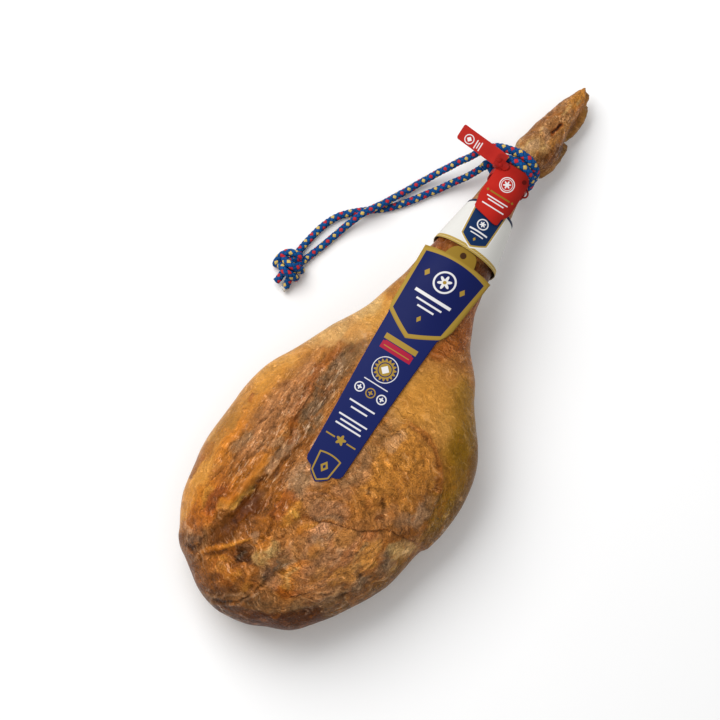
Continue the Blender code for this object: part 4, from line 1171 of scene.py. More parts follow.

# %% Strokes of colour
# A pale pink patch, partly the meat's colour and partly painted sheen
# A small hollow: a rust ring, with painted shade inside
# More painted shade in the pit of the hip
# Painted highlights: pale streaks on the wrinkles
# Painted shade along the lower left edge of the rump
# Painted shade along the lower left edge of the rump
# Painted shade along the lower left edge of the rump
# Painted shade in the pit of the hip
# Painted shade in the slits of the round mass
# Painted shade under the small boss
# Painted shadow of the cone's rim on the leg
# Seams with painted shade in the deepest fold, and painted shade along the lower edges
# The leg by the cone's rim: painted shade, and its own brown
# The slit in the foot: rust, with painted shade along its bottom
COLOUR_STROKES = rows_of("""
# The fat along the left edge
fat 0.9 20 60,146 110,150 160,154 220,148 270,138 310,118 350,98
glow 0.55 14 80,132 120,140 170,138 230,134 270,126
orange 0.45 7 66,124 84,122 104,128
orange 0.4 6 150,136 196,134 236,128
fat 0.85 30 345,88 385,74 425,64
cream 0.75 14 330,108 360,94 396,82
rind 0.6 12 430,68 470,60 492,56
# The fibres beside the label
meat 0.9 30 150,100 220,98 300,88 340,80
rose 0.5 16 180,112 240,104 290,94
orange 0.75 16 84,116 112,116 134,112
rust 0.35 8 128,130 130,116 122,104
glow 0.5 8 104,104 120,108
yellow 0.35 5 96,120 112,124
orange 0.85 4.5 88,104 92,101
dark 0.6 3 82,97 90,95 98,98
black 0.4 2.5 66,92 84,84 104,80
glow 0.4 7 108,96 128,90 150,88 178,88
yellow 0.25 4 112,94 130,88 142,85
# The dark valley
brown 0.85 16 66,86 92,82 112,76
dark 0.4 8 70,86 90,80
dark 0.9 13 104,76 128,74 150,70
dark 0.5 18 74,74 110,68 150,66
brown 0.8 11 100,60 150,62 200,64 240,60
grey 0.75 11 240,66 275,72 330,68 350,64
cold 0.45 8 252,70 290,72 320,74
pale 0.55 5 168,78 188,74 206,72 222,74
pale 0.4 4 196,88 206,84
grey 0.6 7 168,124 190,122
rust 0.5 5 212,76 250,84 300,92 330,82
# The rim of the rump
brown 0.8 28 16,70 26,90 44,112
dark 0.6 9 4,50 14,84 30,106 46,122
grey 0.8 14 46,108 58,106
cold 0.7 6 50,112 58,104
black 0.6 4 44,106 46,112
black 0.55 3.5 54,100 60,100
pale 0.5 3 60,108 58,113
dark 0.7 24 6,30 14,0 30,-30
grey 0.55 20 10,50 20,10 40,-24
# The hollow of the hip
brown 0.8 24 34,60 50,46 56,30
orange 0.65 13 46,66 40,52 48,38
glow 0.55 4 38,52 42,66
glow 0.5 3.5 48,54 52,68
yellow 0.4 2.5 44,56 46,68
glow 0.5 3 30,32 44,26 58,30
rust 0.5 3 30,44 34,60
brown 0.6 4 26,38 40,34 54,40
dark 0.7 3.5 46,86 64,68 84,50
orange 0.6 2.6 40,97 56,82 72,68 84,57 97,46
glow 0.6 1.8 66,73 84,57 97,46
rust 0.7 12 68,50 72,44
black 0.85 5 64,54 70,50 68,43
black 0.7 3.5 74,58 76,48
rose 0.6 2.2 76,44 80,52
pale 0.6 1.8 80,44 85,42
rust 0.5 6 50,22 56,26
black 0.6 4 52,24 55,25
# The lumps in the middle
meat 0.9 30 80,20 110,10 140,-20 110,-40 70,-30
grey 0.65 16 66,12 90,6 100,-4
rose 0.5 10 76,32 94,26
bone 0.7 9 76,32 94,26
cream 0.5 5 78,30 88,26
cold 0.8 5 62,13 74,11 82,12
cold 0.7 3 84,2 88,-6
rind 0.4 4 72,26 80,34 96,34
orange 0.75 10 94,40 106,46 118,44
orange 0.85 12 128,36 144,40 158,46
glow 0.7 9 128,30 146,32 156,40
yellow 0.5 6.5 128,29 138,24
rust 0.7 4 156,34 160,38
glow 0.6 7 132,4 142,-4
orange 0.6 5 112,2 128,8
pale 0.6 4.5 136,-10 146,-14
pale 0.55 14 168,40 190,36 196,26
grey 0.5 8 160,10 172,0
# The lumps of the lower rump
orange 0.9 12 62,-8 78,-12 92,-18
glow 0.75 7 66,-8 80,-8
rust 0.7 4 57,-4 56,-14 62,-24 70,-32
rust 0.55 4 88,-18 96,-22 100,-30
rose 0.7 14 124,-8 140,-22
pale 0.45 8 132,-14 142,-22
grey 0.5 10 96,-28 116,-36 128,-42
orange 0.6 8 74,-38 92,-44 112,-46
orange 0.85 13 108,-60 130,-64 152,-62
glow 0.7 9 120,-72 140,-70 158,-70
rust 0.55 5 124,-52 146,-50
rust 0.6 3 60,-44 76,-54 88,-60
glow 0.8 3 84,-62 88,-66 92,-70
rust 0.55 2.5 104,-50 126,-54 150,-52
rose 0.5 3 118,-57 140,-55
glow 0.6 4 104,-64 128,-72 150,-84 166,-90
yellow 0.5 3 118,-66 138,-74
yellow 0.45 2.5 140,-62 156,-64
dark 0.6 4 122,-90 134,-86 150,-90
black 0.35 2.5 126,-94 140,-92
grey 0.85 16 44,-44 70,-64 100,-80 130,-92 150,-94
cold 0.5 9 100,-82 124,-90 150,-94
olive 0.8 9 50,-70 90,-96 120,-108 160,-118
orange 0.6 8 132,-84 150,-80 166,-78
cream 0.75 10 168,-100 178,-104 182,-110
# The round mass and the right flank
meat 0.9 22 164,-16 176,-40 184,-60
orange 0.5 10 178,-18 186,-36
meat 1 50 222,-40 240,-76
glow 0.5 42 236,-34 262,-50 240,-80
glow 0.3 24 245,-30 270,-44
rose 0.6 12 196,-10 222,-14 240,-8
grey 0.5 8 206,-8 270,-14 310,-16
pale 0.4 7 268,-28 286,-32
brown 0.7 18 196,-96 214,-108 240,-112
pale 0.35 7 200,-84 214,-98 236,-102
olive 0.6 12 200,-124 230,-130 262,-128
fat 0.85 36 335,-30 345,-62 330,-84
glow 0.5 24 325,-28 345,-40
rust 0.7 12 392,-20 410,-28 440,-28 470,-26
olive 0.75 22 310,-106 330,-102 360,-78
olive 0.8 26 230,-134 290,-118 320,-108
# Seams and dark edges
rust 0.5 3 300,-36 300,-54 292,-74 278,-90 253,-102
rust 0.5 2.2 172,-58 184,-72 187,-90 188,-116
black 0.6 1.3 185,-78 186,-96 187,-110
rust 0.45 2.6 134,22 146,14 150,-4 158,-26 166,-46
dark 0.55 13 -2,40 2,10 14,-22 32,-52 60,-74 96,-96 130,-108
dark 0.4 7 140,-116 180,-126 230,-136 280,-134 330,-112
# A second coat
brown 0.35 20 36,54 50,40
rose 0.35 16 92,-32 116,-36
brown 0.35 9 150,148 200,146 236,142
cream 0.5 9 336,102 356,94
rust 0.8 9 96,112 112,112 124,106
rust 0.5 10 70,116 90,120
brown 0.45 12 138,116 150,110 164,108
rust 0.55 4 84,104 96,104
rust 0.75 8 132,44 146,42 156,44
orange 0.6 3 136,34 150,36
brown 0.75 8 102,50 114,44 122,38
rust 0.6 9 112,76 130,72 146,70
rose 0.5 9 104,4 116,-2
rose 0.5 7 58,4 66,-2
rose 0.8 10 160,4 168,-10 172,-22
rose 0.4 9 194,-64 206,-74
pale 0.6 7 136,-6 146,-14
rose 0.5 9 138,-36 150,-44
rose 0.5 8 104,-56 116,-64
yellow 0.75 8 142,-78 156,-74
brown 0.6 8 126,72 136,70
glow 0.6 5 146,-70 158,-66
glow 0.45 7 116,-18 126,-22
pale 0.5 2.2 128,-24 138,-14 150,-8
pale 0.45 2 104,-40 120,-46 138,-44
pale 0.45 1.8 88,-46 100,-58 112,-68
pale 0.4 1.8 150,4 158,-8 166,-26
cream 0.5 1.8 124,-66 140,-60 158,-64
cream 0.45 1.6 64,-14 76,-8 90,-12
dark 0.75 11 6,10 18,-18 34,-40 54,-58
brown 0.8 10 497,46 502,20 497,-10
dark 0.5 7 496,54 500,44
dark 0.5 10 490,-22 502,-6
dark 0.45 6 646,2 652,-2
cream 0.4 10 352,80 368,72
rose 0.45 24 88,-36 118,-50 148,-62
glow 0.5 8 100,-56 116,-64
rose 0.6 6 138,-6 146,-14
glow 0.7 7 142,-78 156,-72
pale 0.4 8 208,-98 224,-102
pale 0.45 5 92,48 98,50
dark 0.6 9 112,74 132,72 150,69
rust 0.6 9 100,112 116,112
dark 0.4 9 14,66 26,60 28,50
brown 0.5 7 134,42 148,40
dark 0.75 11 12,-12 30,-38 52,-58
dark 0.55 9 644,4 654,-4
orange 0.55 8 118,100 150,96 178,92
yellow 0.4 3 112,92 128,87 140,84
glow 0.5 4 38,66 44,54 48,44
orange 0.6 6 150,128 170,134 200,132
black 0.65 1.7 206,-36 213,-33
black 0.6 1.7 205,-60 210,-54
rust 0.6 2 189,-60 196,-64
rust 0.6 3 229,137 234,138
brown 0.8 2.8 114,150 128,152 142,152
rind 0.45 7 150,152 180,152 206,146
glow 0.5 7 84,134 100,138
pale 0.45 1.6 3,52 8,38 20,22 40,13
pale 0.35 1.6 6,66 14,44 30,30
pale 0.35 1.6 24,104 34,96 50,92
rust 0.6 14 470,52 500,46
dark 0.6 14 480,-20 500,-16
# Shank and foot
foot 1 30 650,10 700,6 740,0
foot 0.9 30 570,16 640,14
brown 0.6 7 640,-4 665,-10 700,-14
nail 0.8 5.5 655,-20 664,-19 674,-18
dark 0.6 2 668,-13 676,-14 682,-12
cream 0.5 1.6 645,27 652,23 658,20
cream 0.35 12 645,26 652,12
cream 0.5 1.5 646,22 656,25
cream 0.4 1.6 668,17 676,18
cream 0.45 1.5 658,6 664,3
brown 0.5 3 650,30 680,24 706,17
brown 0.4 3 668,10 690,10 712,6
pale 0.5 5 648,22 656,16
pale 0.4 4 664,2 674,14
orange 0.4 5 716,-4 728,-6
dark 0.5 1.8 640,-8 660,-12 672,-14 690,-12 712,-11
dark 0.45 1.5 648,0 664,-6
glow 0.35 6 668,-1 684,-4 692,-4
glow 0.55 6 716,3 728,-2
# A last coat
dark 0.4 8 8,44 15,26 22,16
rust 0.4 8 42,66 46,54
grey 0.5 9 172,40 184,36
brown 0.35 8 276,70 300,67
rust 0.3 6 418,66 432,63
meat 0.3 7 124,-98 136,-97
olive 0.45 9 312,-106 328,-102
meat 0.35 9 232,-88 248,-92
meat 0.25 8 86,138 102,143
glow 0.5 5 728,3 740,0
dark 0.4 9 108,74 134,71
dark 0.3 9 70,88 96,82
meat 0.6 7 143,70 157,68
dark 0.45 6 42,101 48,96
brown 0.4 6 134,93 146,92
brown 0.45 6 46,113 54,111
dark 0.7 10 13,-6 24,-30
meat 0.4 7 92,-86 108,-90
dark 0.5 6 6,40 14,22
dark 0.6 6 498,-3 497,-24
dark 0.35 7 498,46 499,0
brown 0.5 5 498,40 499,30
black 0.6 2.5 505,-2 503,-12 501,-22
dark 0.6 2.5 506,34 504,46
black 0.85 1.6 147,-16 149,-17
milk 0.45 1.6 146,-8 154,-22 160,-32
milk 0.4 1.5 84,-38 96,-48 104,-62
milk 0.4 1.5 170,24 178,12 182,0
butter 0.5 1.6 62,-12 70,-5 82,-6
butter 0.45 1.6 112,-72 132,-80 150,-84
rust 0.4 7 132,40 150,40
rust 0.4 6 124,30 132,26
dark 0.45 8 122,73 136,71
milk 0.75 6 137,-7 146,-13
glow 0.4 8 140,-38 152,-42
butter 0.35 8 104,-58 118,-62
butter 0.65 8 143,-77 157,-73
glow 0.3 8 90,-34 100,-36
glow 0.3 8 106,0 114,0
orange 0.35 6 127,2 134,-2
rose 0.4 6 57,0 64,0
rose 0.4 7 162,22 170,18
rust 0.4 6 164,-58 172,-62
rust 0.75 9 103,112 117,111
dark 0.35 8 106,112 116,110
brown 0.45 9 144,112 158,112
rose 0.45 10 242,90 260,90
rust 0.3 6 142,151 158,151
glow 0.35 9 354,76 368,73
brown 0.35 11 372,-44 390,-44
dark 0.7 7 648,4 651,-6
orange 0.2 6 708,-8 722,-8
black 0.65 5 62,53 69,49 68,42
black 0.6 3 72,57 77,50
cold 0.5 1.6 64,56 74,49
rose 0.5 1.5 77,56 83,46
brown 0.6 12 44,108 58,106
cold 0.4 4 50,113 58,106
black 0.6 2.2 44,112 44,103 51,99 60,101
black 0.5 1.8 52,108 60,110
cream 0.4 2 704,6 714,4
cream 0.5 2 720,-3 726,-3
rust 0.9 2.4 677,6.5 684,3.2 692,1
black 0.9 1.5 678,6.1 684,3.2 691,1.2
""")
print("colour strokes on the ham:", len(COLOUR_STROKES))

# %% Laying the paint
WARMER, DEEPER = (1.06, 1.06, 1.10), (0.003, 0.004, 0.003)
LEAST_TONE = 0.003
FORM_SPREAD, FORM_HEIGHT = 8, 1.1
RAISED_PAINTED_LIGHT, HOLLOW_PAINTED_SHADE = 0.30, 0.44
FOLD_SHARE, FORM_RANGE = 0.45, (-1.3, 1.0)
CREASE_SHADE_TONE, CREASE_SHADE_COVER = 0.7, 0.35
BLOTCH_FADE, RIND_FADE = (-0.5, 0.9), (-2.0, 12.0)


def spread(values, steps):
    """The mean over a few neighbours both ways, taken again and again."""
    for _ in range(steps):
        beside = (np.roll(values, 1, axis=1) + np.roll(values, -1, axis=1) + values) / 3
        values = (np.vstack([beside[:1], beside[:-1]]) + np.vstack([beside[1:], beside[-1:]]) + beside) / 3
    return values


def painted():
    """Lay each stroke over the colour below: the colour goes towards the stroke's by its cover."""
    tone = {name: np.array(ink(*value)) * WARMER - DEEPER for name, value in TONES.items()}
    colour = np.broadcast_to(tone["meat"], (*seen_u.shape, 3)).copy()
    for (name, cover, reach), line in COLOUR_STROKES:
        colour += (tone[name] - colour) * (cover * stroke(reach, line))[..., None]
    form = heights + FOLD_SHARE * (relief(*np.moveaxis(ham_grid, -1, 0)) * on_top + filled)
    # Painted light on raised places and painted shade in hollows, from the relief against its spread mean.
    raised = np.clip((form - spread(form, FORM_SPREAD)) / FORM_HEIGHT, *FORM_RANGE)[..., None]
    colour = np.maximum(colour, LEAST_TONE) * (1 + np.where(raised > 0, RAISED_PAINTED_LIGHT, HOLLOW_PAINTED_SHADE) * raised)
    # Painted shade in the creases, towards a darker rust.
    colour += (tone["rust"] * CREASE_SHADE_TONE - colour) * (CREASE_SHADE_COVER * cut)[..., None]
    blotch = smooth_step(rough_wide, *BLOTCH_FADE)[..., None]
    rind = tone["rind"] * (1 - blotch) + tone["olive"] * blotch
    below_edge = edge_height(ham_grid[..., 0]) - ham_grid[..., 2]
    colour += (rind - colour) * (~upper_side * smooth_step(below_edge, *RIND_FADE))[..., None]
    return colour


ham_paint = painted()
print("mean colour of the ham:", np.round(ham_paint.mean(axis=(0, 1)), 3))


# %% What the material reads from the ham
def give_rings(name, values, kind="FLOAT"):
    """Store a value for each point of the ham's rings, and their means for the two poles."""
    means = [values[0].mean(axis=0), values[-1].mean(axis=0)]
    give_values(ham, name, np.concatenate([values.reshape(-1, *values.shape[2:]), means]), kind)


give_rings("tone", ham_paint, "FLOAT_COLOR")
fatty = strokes("""
26 60,150 160,156 270,142 350,104 430,70
44 345,-30 350,-70 300,-120
26 345,84 400,70
8 112,96 180,88
9 74,84 112,76 140,72
9 499,52 500,-28
""")
SHANK_FROM, SHANK_TO, FOOT_FIBRE, SKIN_SMOOTH = (400, 460), (636, 650), 0.4, 0.8
shank = smooth_step(seen_u, *SHANK_FROM) * (1 - (1 - FOOT_FIBRE) * smooth_step(seen_u, *SHANK_TO))
give_rings("smooth", np.maximum(fatty, ~upper_side * SKIN_SMOOTH))
give_rings("fibrous", np.maximum(fibrous * on_top, shank))
give_rings("grain", grain_place, "FLOAT_VECTOR")
print("share of fat and skin:", round(float(np.maximum(fatty, ~upper_side).mean()), 2))

# %% [markdown]
# ## The meat's finish
#
# The painted tones are broad. What makes them look like cured meat is mottling at three scales, wisps and
# hairs that follow the leg or the arcs of the rump, thin dark threads, pale glints painted as highlights, a
# few dark specks, and a surface that is wetter where it is pale. All of it is weaker on fat and skin than on
# meat.

# %% Ham material
THREAD_INK, BROWN_INK, ORANGE_INK = ink(92, 46, 16), ink(112, 62, 24), ink(206, 118, 36)
# GLINT_INK is the colour of the painted highlights.
PALE_INK, GLINT_INK, SPECK_INK = ink(232, 186, 130), ink(236, 196, 146), ink(50, 28, 18)


def ham_material():
    """The painted tone times a sum of noises, with threads, patches, pale wisps, painted glints and specks.
    """
    material, wire, shader = new_material("cured_ham", Specular_IOR_Level=0.07, Coat_Roughness=0.2)
    place, grain_at = wire.place(), wire.stored("grain")
    fibre = wire.stored("fibrous", "Fac")
    meaty = 1 - wire.stored("smooth", "Fac") * 0.5
    drawn = place.scaled((0.22, 1.0, 1.0))

    def along(size, arc_size, detail, rough):
        """Noise drawn out along the arcs of the rump, and along the leg where the meat is fibrous."""
        arcs = grain_at.noise(arc_size, detail, rough)
        return arcs + (drawn.noise(size, detail, rough) - arcs) * fibre

    wide, middle, fine = place.noise(0.018, 6, 0.6), place.noise(0.0055, 6, 0.6), place.noise(0.0018, 3)
    wisps, hairs, veins = along(0.006, 6.5, 6, 0.62), along(0.0024, 2.6, 4, 0.6), along(0.0036, 3.4, 3, 0.5)
    light = wide * 1.3 + middle * 1.1 + fine * 1.7 + wisps + hairs * 1.1 - 3.1
    colour = wire.stored("tone", "Color").lit(1.0 + light * meaty)
    threads = (wisps - 0.5).maths("ABSOLUTE").step(0.022, 0.0) * wide.step(0.40, 0.58)
    brown = place.scaled((0.7, 1, 1)).noise(0.009, 6, 0.65).step(0.55, 0.68)
    orange = place.noise(0.012, 5, 0.6).step(0.54, 0.66)
    pale = (hairs * 0.6 + wisps * 0.6).step(0.66, 0.80)
    colour = colour.mixed(THREAD_INK, threads * 0.30 * meaty)
    colour = colour.mixed(BROWN_INK, brown * 0.3 * meaty)
    colour = colour.mixed(ORANGE_INK, orange * 0.28 * meaty)
    colour = colour.mixed(PALE_INK, pale * (0.30 + fibre * 0.2) * meaty)
    # Glints are painted highlights: thin bright streaks, lit up and mixed towards a pale ink.
    glints = (veins - 0.5).maths("ABSOLUTE").step(0.030, 0.006) * place.noise(0.009, 3).step(0.47, 0.60)
    colour = colour.lit(1.0 + glints * 0.8 * meaty)
    colour = colour.mixed(GLINT_INK, glints * (0.14 + fibre * 0.22) * meaty)
    specks = wire.add("TexVoronoi", None, {"Vector": place, "Scale": 1 / 0.0042}, 0)
    colour = colour.mixed(SPECK_INK, specks.step(0.16, 0.06) * middle.step(0.52, 0.62) * 0.5 * meaty)
    height = (middle * 0.5 + fine * 0.25 + wisps * 0.9 + hairs * 0.45 + place.noise(0.0085, 4) * 0.7
              - threads * 0.2)
    wet = (pale * 0.5 + glints * 0.4) * meaty + middle.step(0.5, 0.7) * 0.10
    feed(wire, shader, Base_Color=colour, Roughness=0.33 + (middle - 0.5) * 0.5 - pale * 0.08,
         Coat_Weight=wet, Normal=bumped(wire, height * meaty, 0.0028, 1.0))
    return material


ham.data.materials.append(ham_material())
print("nodes in the ham's material:", len(ham.data.materials[0].node_tree.nodes))

# %% [markdown]
# ## The paper cone
#
# A printed paper sleeve is slipped over the shank, white with a gold border, a dark blue rim and a small
# shield on top. It is a thin wall of revolution: an outer and an inner surface joined at both rims. The
# print is drawn in the material from two lengths, one up the slope and one round from the top.

# %% Paper cone
CONE_LOW, CONE_HIGH = np.array([499.2, 14.9, 80.0]), np.array([562.3, 15.8, 62.4])
CONE_RADII = (42.0, 30.4)
CONE_WALL = 0.8
CONE_ROWS, CONE_CELLS = 49, 160
# Size, count round the cone and start of each wave of the paper.
CONE_WAVES = [(0.12, 5, 0.7), (0.08, 9, 0.0)]
RIM_BACK, RIM_SIDE, RIM_TOP = 2.0, 2.0, 9.4
CONE_SLANT = math.hypot(float(np.linalg.norm(CONE_HIGH - CONE_LOW)), CONE_RADII[0] - CONE_RADII[1])


def cone_wall():
    """Profile of the wall, as shares of the slope and steps inwards, carried round the sloping axis. The
    radius waves a little between the rims, and the lower rim is drawn back on top."""
    axis = (CONE_HIGH - CONE_LOW) / np.linalg.norm(CONE_HIGH - CONE_LOW)
    left = np.cross([0.0, 0.0, 1.0], axis)
    left /= np.linalg.norm(left)
    up = np.cross(axis, left)
    slope = np.linspace(0, 1, CONE_ROWS)
    share = np.concatenate([slope, slope[::-1]])[:, None]
    inwards = np.repeat([0.0, CONE_WALL], CONE_ROWS)[:, None]
    angle = np.linspace(-math.pi, math.pi, CONE_CELLS, endpoint=False)
    sine, cosine = np.sin(angle), np.cos(angle)
    wave = sum(size * np.sin(count * angle + start) for size, count, start in CONE_WAVES)
    radius = CONE_RADII[0] + (CONE_RADII[1] - CONE_RADII[0]) * share - inwards
    radius = radius + wave * np.sin(math.pi * share)
    drawn_back = (1 - share) * (RIM_BACK + RIM_SIDE * sine - RIM_TOP * np.maximum(cosine, 0))
    centre = (CONE_LOW + (CONE_HIGH - CONE_LOW) * share)[:, None] + drawn_back[..., None] * axis
    points = centre + (radius * sine)[..., None] * left + (radius * cosine)[..., None] * up
    quads = grid_faces(2 * CONE_ROWS + 1, CONE_CELLS, closed=True) % radius.size
    cone = make_piece("paper_cone_print", points.reshape(-1, 3), [quads])
    print_place = np.broadcast_arrays(share * CONE_SLANT, angle * radius, inwards == 0)
    give_values(cone, "print", np.stack(print_place, axis=-1).reshape(-1, 3), "FLOAT_VECTOR")
    return cone


cone = cone_wall()
stand_for(cone, "paper_cone")

# %% [markdown]
# ## The card label
#
# The label is stiff card: a long strip with a big shield at its upper end and a small one at its tail. It
# is laid along the leg as the imported solid is, each row tangent to the leg and lifted clear of the folds.
# Here the rows are closer, so that the outline is smooth. The hole in the tab is painted, not cut: a dark
# brown disc stands for the ham seen through it, in painted shade.

# %% Rows of the card
CARD_THICK, CARD_GAP = 0.9, 1.2
# Place along the leg, and the radius that a row there is bent to.
CARD_BEND = places("186,700 250,500 300,330 350,200 400,120 440,78 490,56 520,46")
CARD_CELLS = 44
CARD_ROW = 1.6
PACKED_CELLS = 10


def card_row(u, left, right, cells, bend):
    """One row of the card: a parabola tangent to the leg at the row's middle, bent by the row's radius."""
    z = EYE_AT[2]
    for _ in range(4):
        x, middle = from_seen(u, (left + right) / 2, z)
        z = float(upper_face(x, middle, False))
    y = from_seen(u, right + (left - right) * np.linspace(0, 1, cells + 1), z)[1]
    tilt = float(upper_face(x, middle + 2, False) - upper_face(x, middle - 2, False)) / 4
    off = y - middle
    z = z + tilt * off - off ** 2 / (2 * float(bend(u)))
    return np.stack([from_seen(u, y, z)[0], y, z], axis=1)


def card_rise(bend):
    """How far the rows are lifted: the most that the leg's relief stands over each packed row, taken over
    its neighbours and averaged."""
    over = []
    for u, left, right in CARD_OUTLINE:
        row = card_row(u, left, right, PACKED_CELLS, bend)
        over.append(float(np.max(upper_face(row[:, 0], row[:, 1]) - row[:, 2])))
    padded = np.pad(over, 3, mode="edge")
    highest = np.array([padded[k:k + 5].max() for k in range(len(over) + 2)])
    return np.array([highest[k:k + 3].mean() for k in range(len(over))])


# %% The card's mesh
def thin_sheet(name, lower, upper):
    """A closed thin solid between two equal grids of points."""
    rows, columns = lower.shape[:2]
    over = rows * columns
    quads = grid_faces(rows, columns)
    border = np.concatenate([np.arange(columns - 1), np.arange(rows - 1) * columns + columns - 1,
                             over - 1 - np.arange(columns - 1), np.arange(rows - 1, 0, -1) * columns])
    after = np.roll(border, -1)
    sides = np.stack([border, after, after + over, border + over], axis=1)
    return make_piece(name, np.concatenate([lower.reshape(-1, 3), upper.reshape(-1, 3)]),
                      [np.vstack([quads[:, ::-1], quads + over, sides])])


def make_card():
    """Rows of the outline's own places and of even ones between, lifted, and given the card's thickness."""
    bend = smooth_curve(CARD_BEND)
    rise = card_rise(bend)
    between = np.arange(card_u[0], card_u[-1], CARD_ROW)
    far = np.abs(between[:, None] - card_u[None, :]).min(axis=1) > CARD_ROW / 4
    rows = []
    for u in np.sort(np.concatenate([card_u, between[far]])):
        left, right = np.interp(u, card_u, card_left), np.interp(u, card_u, card_right)
        row = card_row(u, left, right, CARD_CELLS, bend)
        row[:, 2] += np.interp(u, card_u, rise) + CARD_GAP
        rows.append(row)
    return thin_sheet("label_card_print", np.array(rows), np.array(rows) + (0, 0, CARD_THICK))


card = make_card()
stand_for(card, "label_card")
card_points = points_of(card)
face_up = np.repeat([0.0, 1.0], len(card_points) // 2)
give_values(card, "print", np.stack([*as_seen(*card_points.T), face_up], axis=1), "FLOAT_VECTOR")

# %% [markdown]
# ## Drawing a print with distances
#
# A printed shape with a sharp edge is the set of places whose distance to something is small. The helpers
# below give such distances for bars, discs, rings, lozenges and rosettes, and turn them into an ink's cover.
# A print is then a list of marks: a shape, its ink, its place and its sizes. The label gets a design of its
# own: a shield with a gold border, a white rosette in a ring, lozenges and plain bars.

# %% Print helpers
INK_EDGE = 0.25
NAVY, NAVY_STRIP = ink(26, 35, 93), ink(30, 40, 100)
GOLD, GOLD_DARK = ink(180, 147, 62), ink(152, 120, 42)
INK_WHITE, INK_RED = ink(246, 244, 244), ink(184, 38, 66)
print("navy is mixed as", np.round(NAVY, 3), "and gold as", np.round(GOLD, 3))


def inside(distance):
    """Cover of an ink: 1 where the distance is below 0."""
    return distance.step(INK_EDGE, -INK_EDGE)


def bar(u, v, at, across, half_u, half_v):
    """Distance to an upright bar: the larger of the two distances past its half-sizes."""
    return ((u - at).maths("ABSOLUTE") - half_u).maths("MAXIMUM", (v - across).maths("ABSOLUTE") - half_v)


def lozenge(u, v, at, across, half_u, half_v):
    """Distance to a lozenge: its two half-shares added, less one, times the shorter half."""
    shares = (u - at).maths("ABSOLUTE") / half_u + (v - across).maths("ABSOLUTE") / half_v
    return (shares - 1.0) * min(half_u, half_v)


def disc(u, v, at, across, radius):
    """Distance to a disc: the root of the two squares added, less the radius."""
    du, dv = u - at, v - across
    return (du * du + dv * dv).maths("SQRT") - radius


def ring(u, v, at, across, radius, half_width):
    """Distance to a ring: how far a place is from a circle, less half the ring's width."""
    return disc(u, v, at, across, radius).maths("ABSOLUTE") - half_width


def petals(u, v, at, across, radius, count, depth):
    """Distance to a rosette: a disc whose radius goes in and out with the cosine of the angle."""
    angle = (v - across).maths("ARCTAN2", u - at)
    return disc(u, v, at, across, radius) - (angle * float(count)).maths("COSINE") * depth


def printed(colour, u, v, marks, cover=1.0):
    """Lay each mark's ink over a colour, in the order of the list."""
    for shape, dye, *sizes in marks:
        colour = colour.mixed(dye, inside(shape(u, v, *sizes)) * cover)
    return colour


# %% Shields
# Lowest place, slant and bow of the point, the length that it is divided by, half-width and widening.
TAIL_SHAPE = (186.5, 0.6, 0.012, 1.25, 11.9, 0.12)
SHIELD_SHAPE = (384.0, 0.45, 0.0028, 1.16, 35.7, 0.088)
CONE_SHAPE = (4.4, 0.45, 0.011, 1.15, 17.0, 0.073)
# Top, and how its arch falls with the square of the distance from the middle.
TAIL_TOP, SHIELD_TOP = (225.0, 0.012), (495.3, 0.0042)


def shield(u, w, low, slant, bow, root, half, widening):
    """Distance inside a shield: up from its bowed point, and in from its sides, which stand apart more
    and more."""
    apart = w.maths("ABSOLUTE")
    from_point = (u - low - apart * slant - apart * apart * bow) / root
    return from_point, half + (u - low) * widening - apart


def arched_depth(u, w, sides, high, arch):
    """Distance inside a shield whose top is arched: the least of the three distances."""
    point, side = sides
    return point.maths("MINIMUM", side).maths("MINIMUM", high - w * w * arch - u)


print("the label's shield is", round(SHIELD_TOP[0] - SHIELD_SHAPE[0], 1), "mm high")

# %% Marks of the label
SHIELD_MARKS = [
    (ring, INK_WHITE, 463.0, 0.0, 12.5, 1.1), (petals, INK_WHITE, 463.0, 0.0, 6.2, 6, 2.4),
    (disc, GOLD, 463.0, 0.0, 2.2),
    (lozenge, GOLD, 463.0, -24.0, 5.0, 3.4), (lozenge, GOLD, 463.0, 24.0, 5.0, 3.4),
    (bar, INK_WHITE, 439.5, 0.0, 1.9, 24.0), (bar, INK_WHITE, 431.5, 0.0, 1.1, 17.0),
    (bar, INK_WHITE, 424.5, 0.0, 1.1, 11.0), (lozenge, GOLD, 411.0, 0.0, 4.4, 2.8),
]
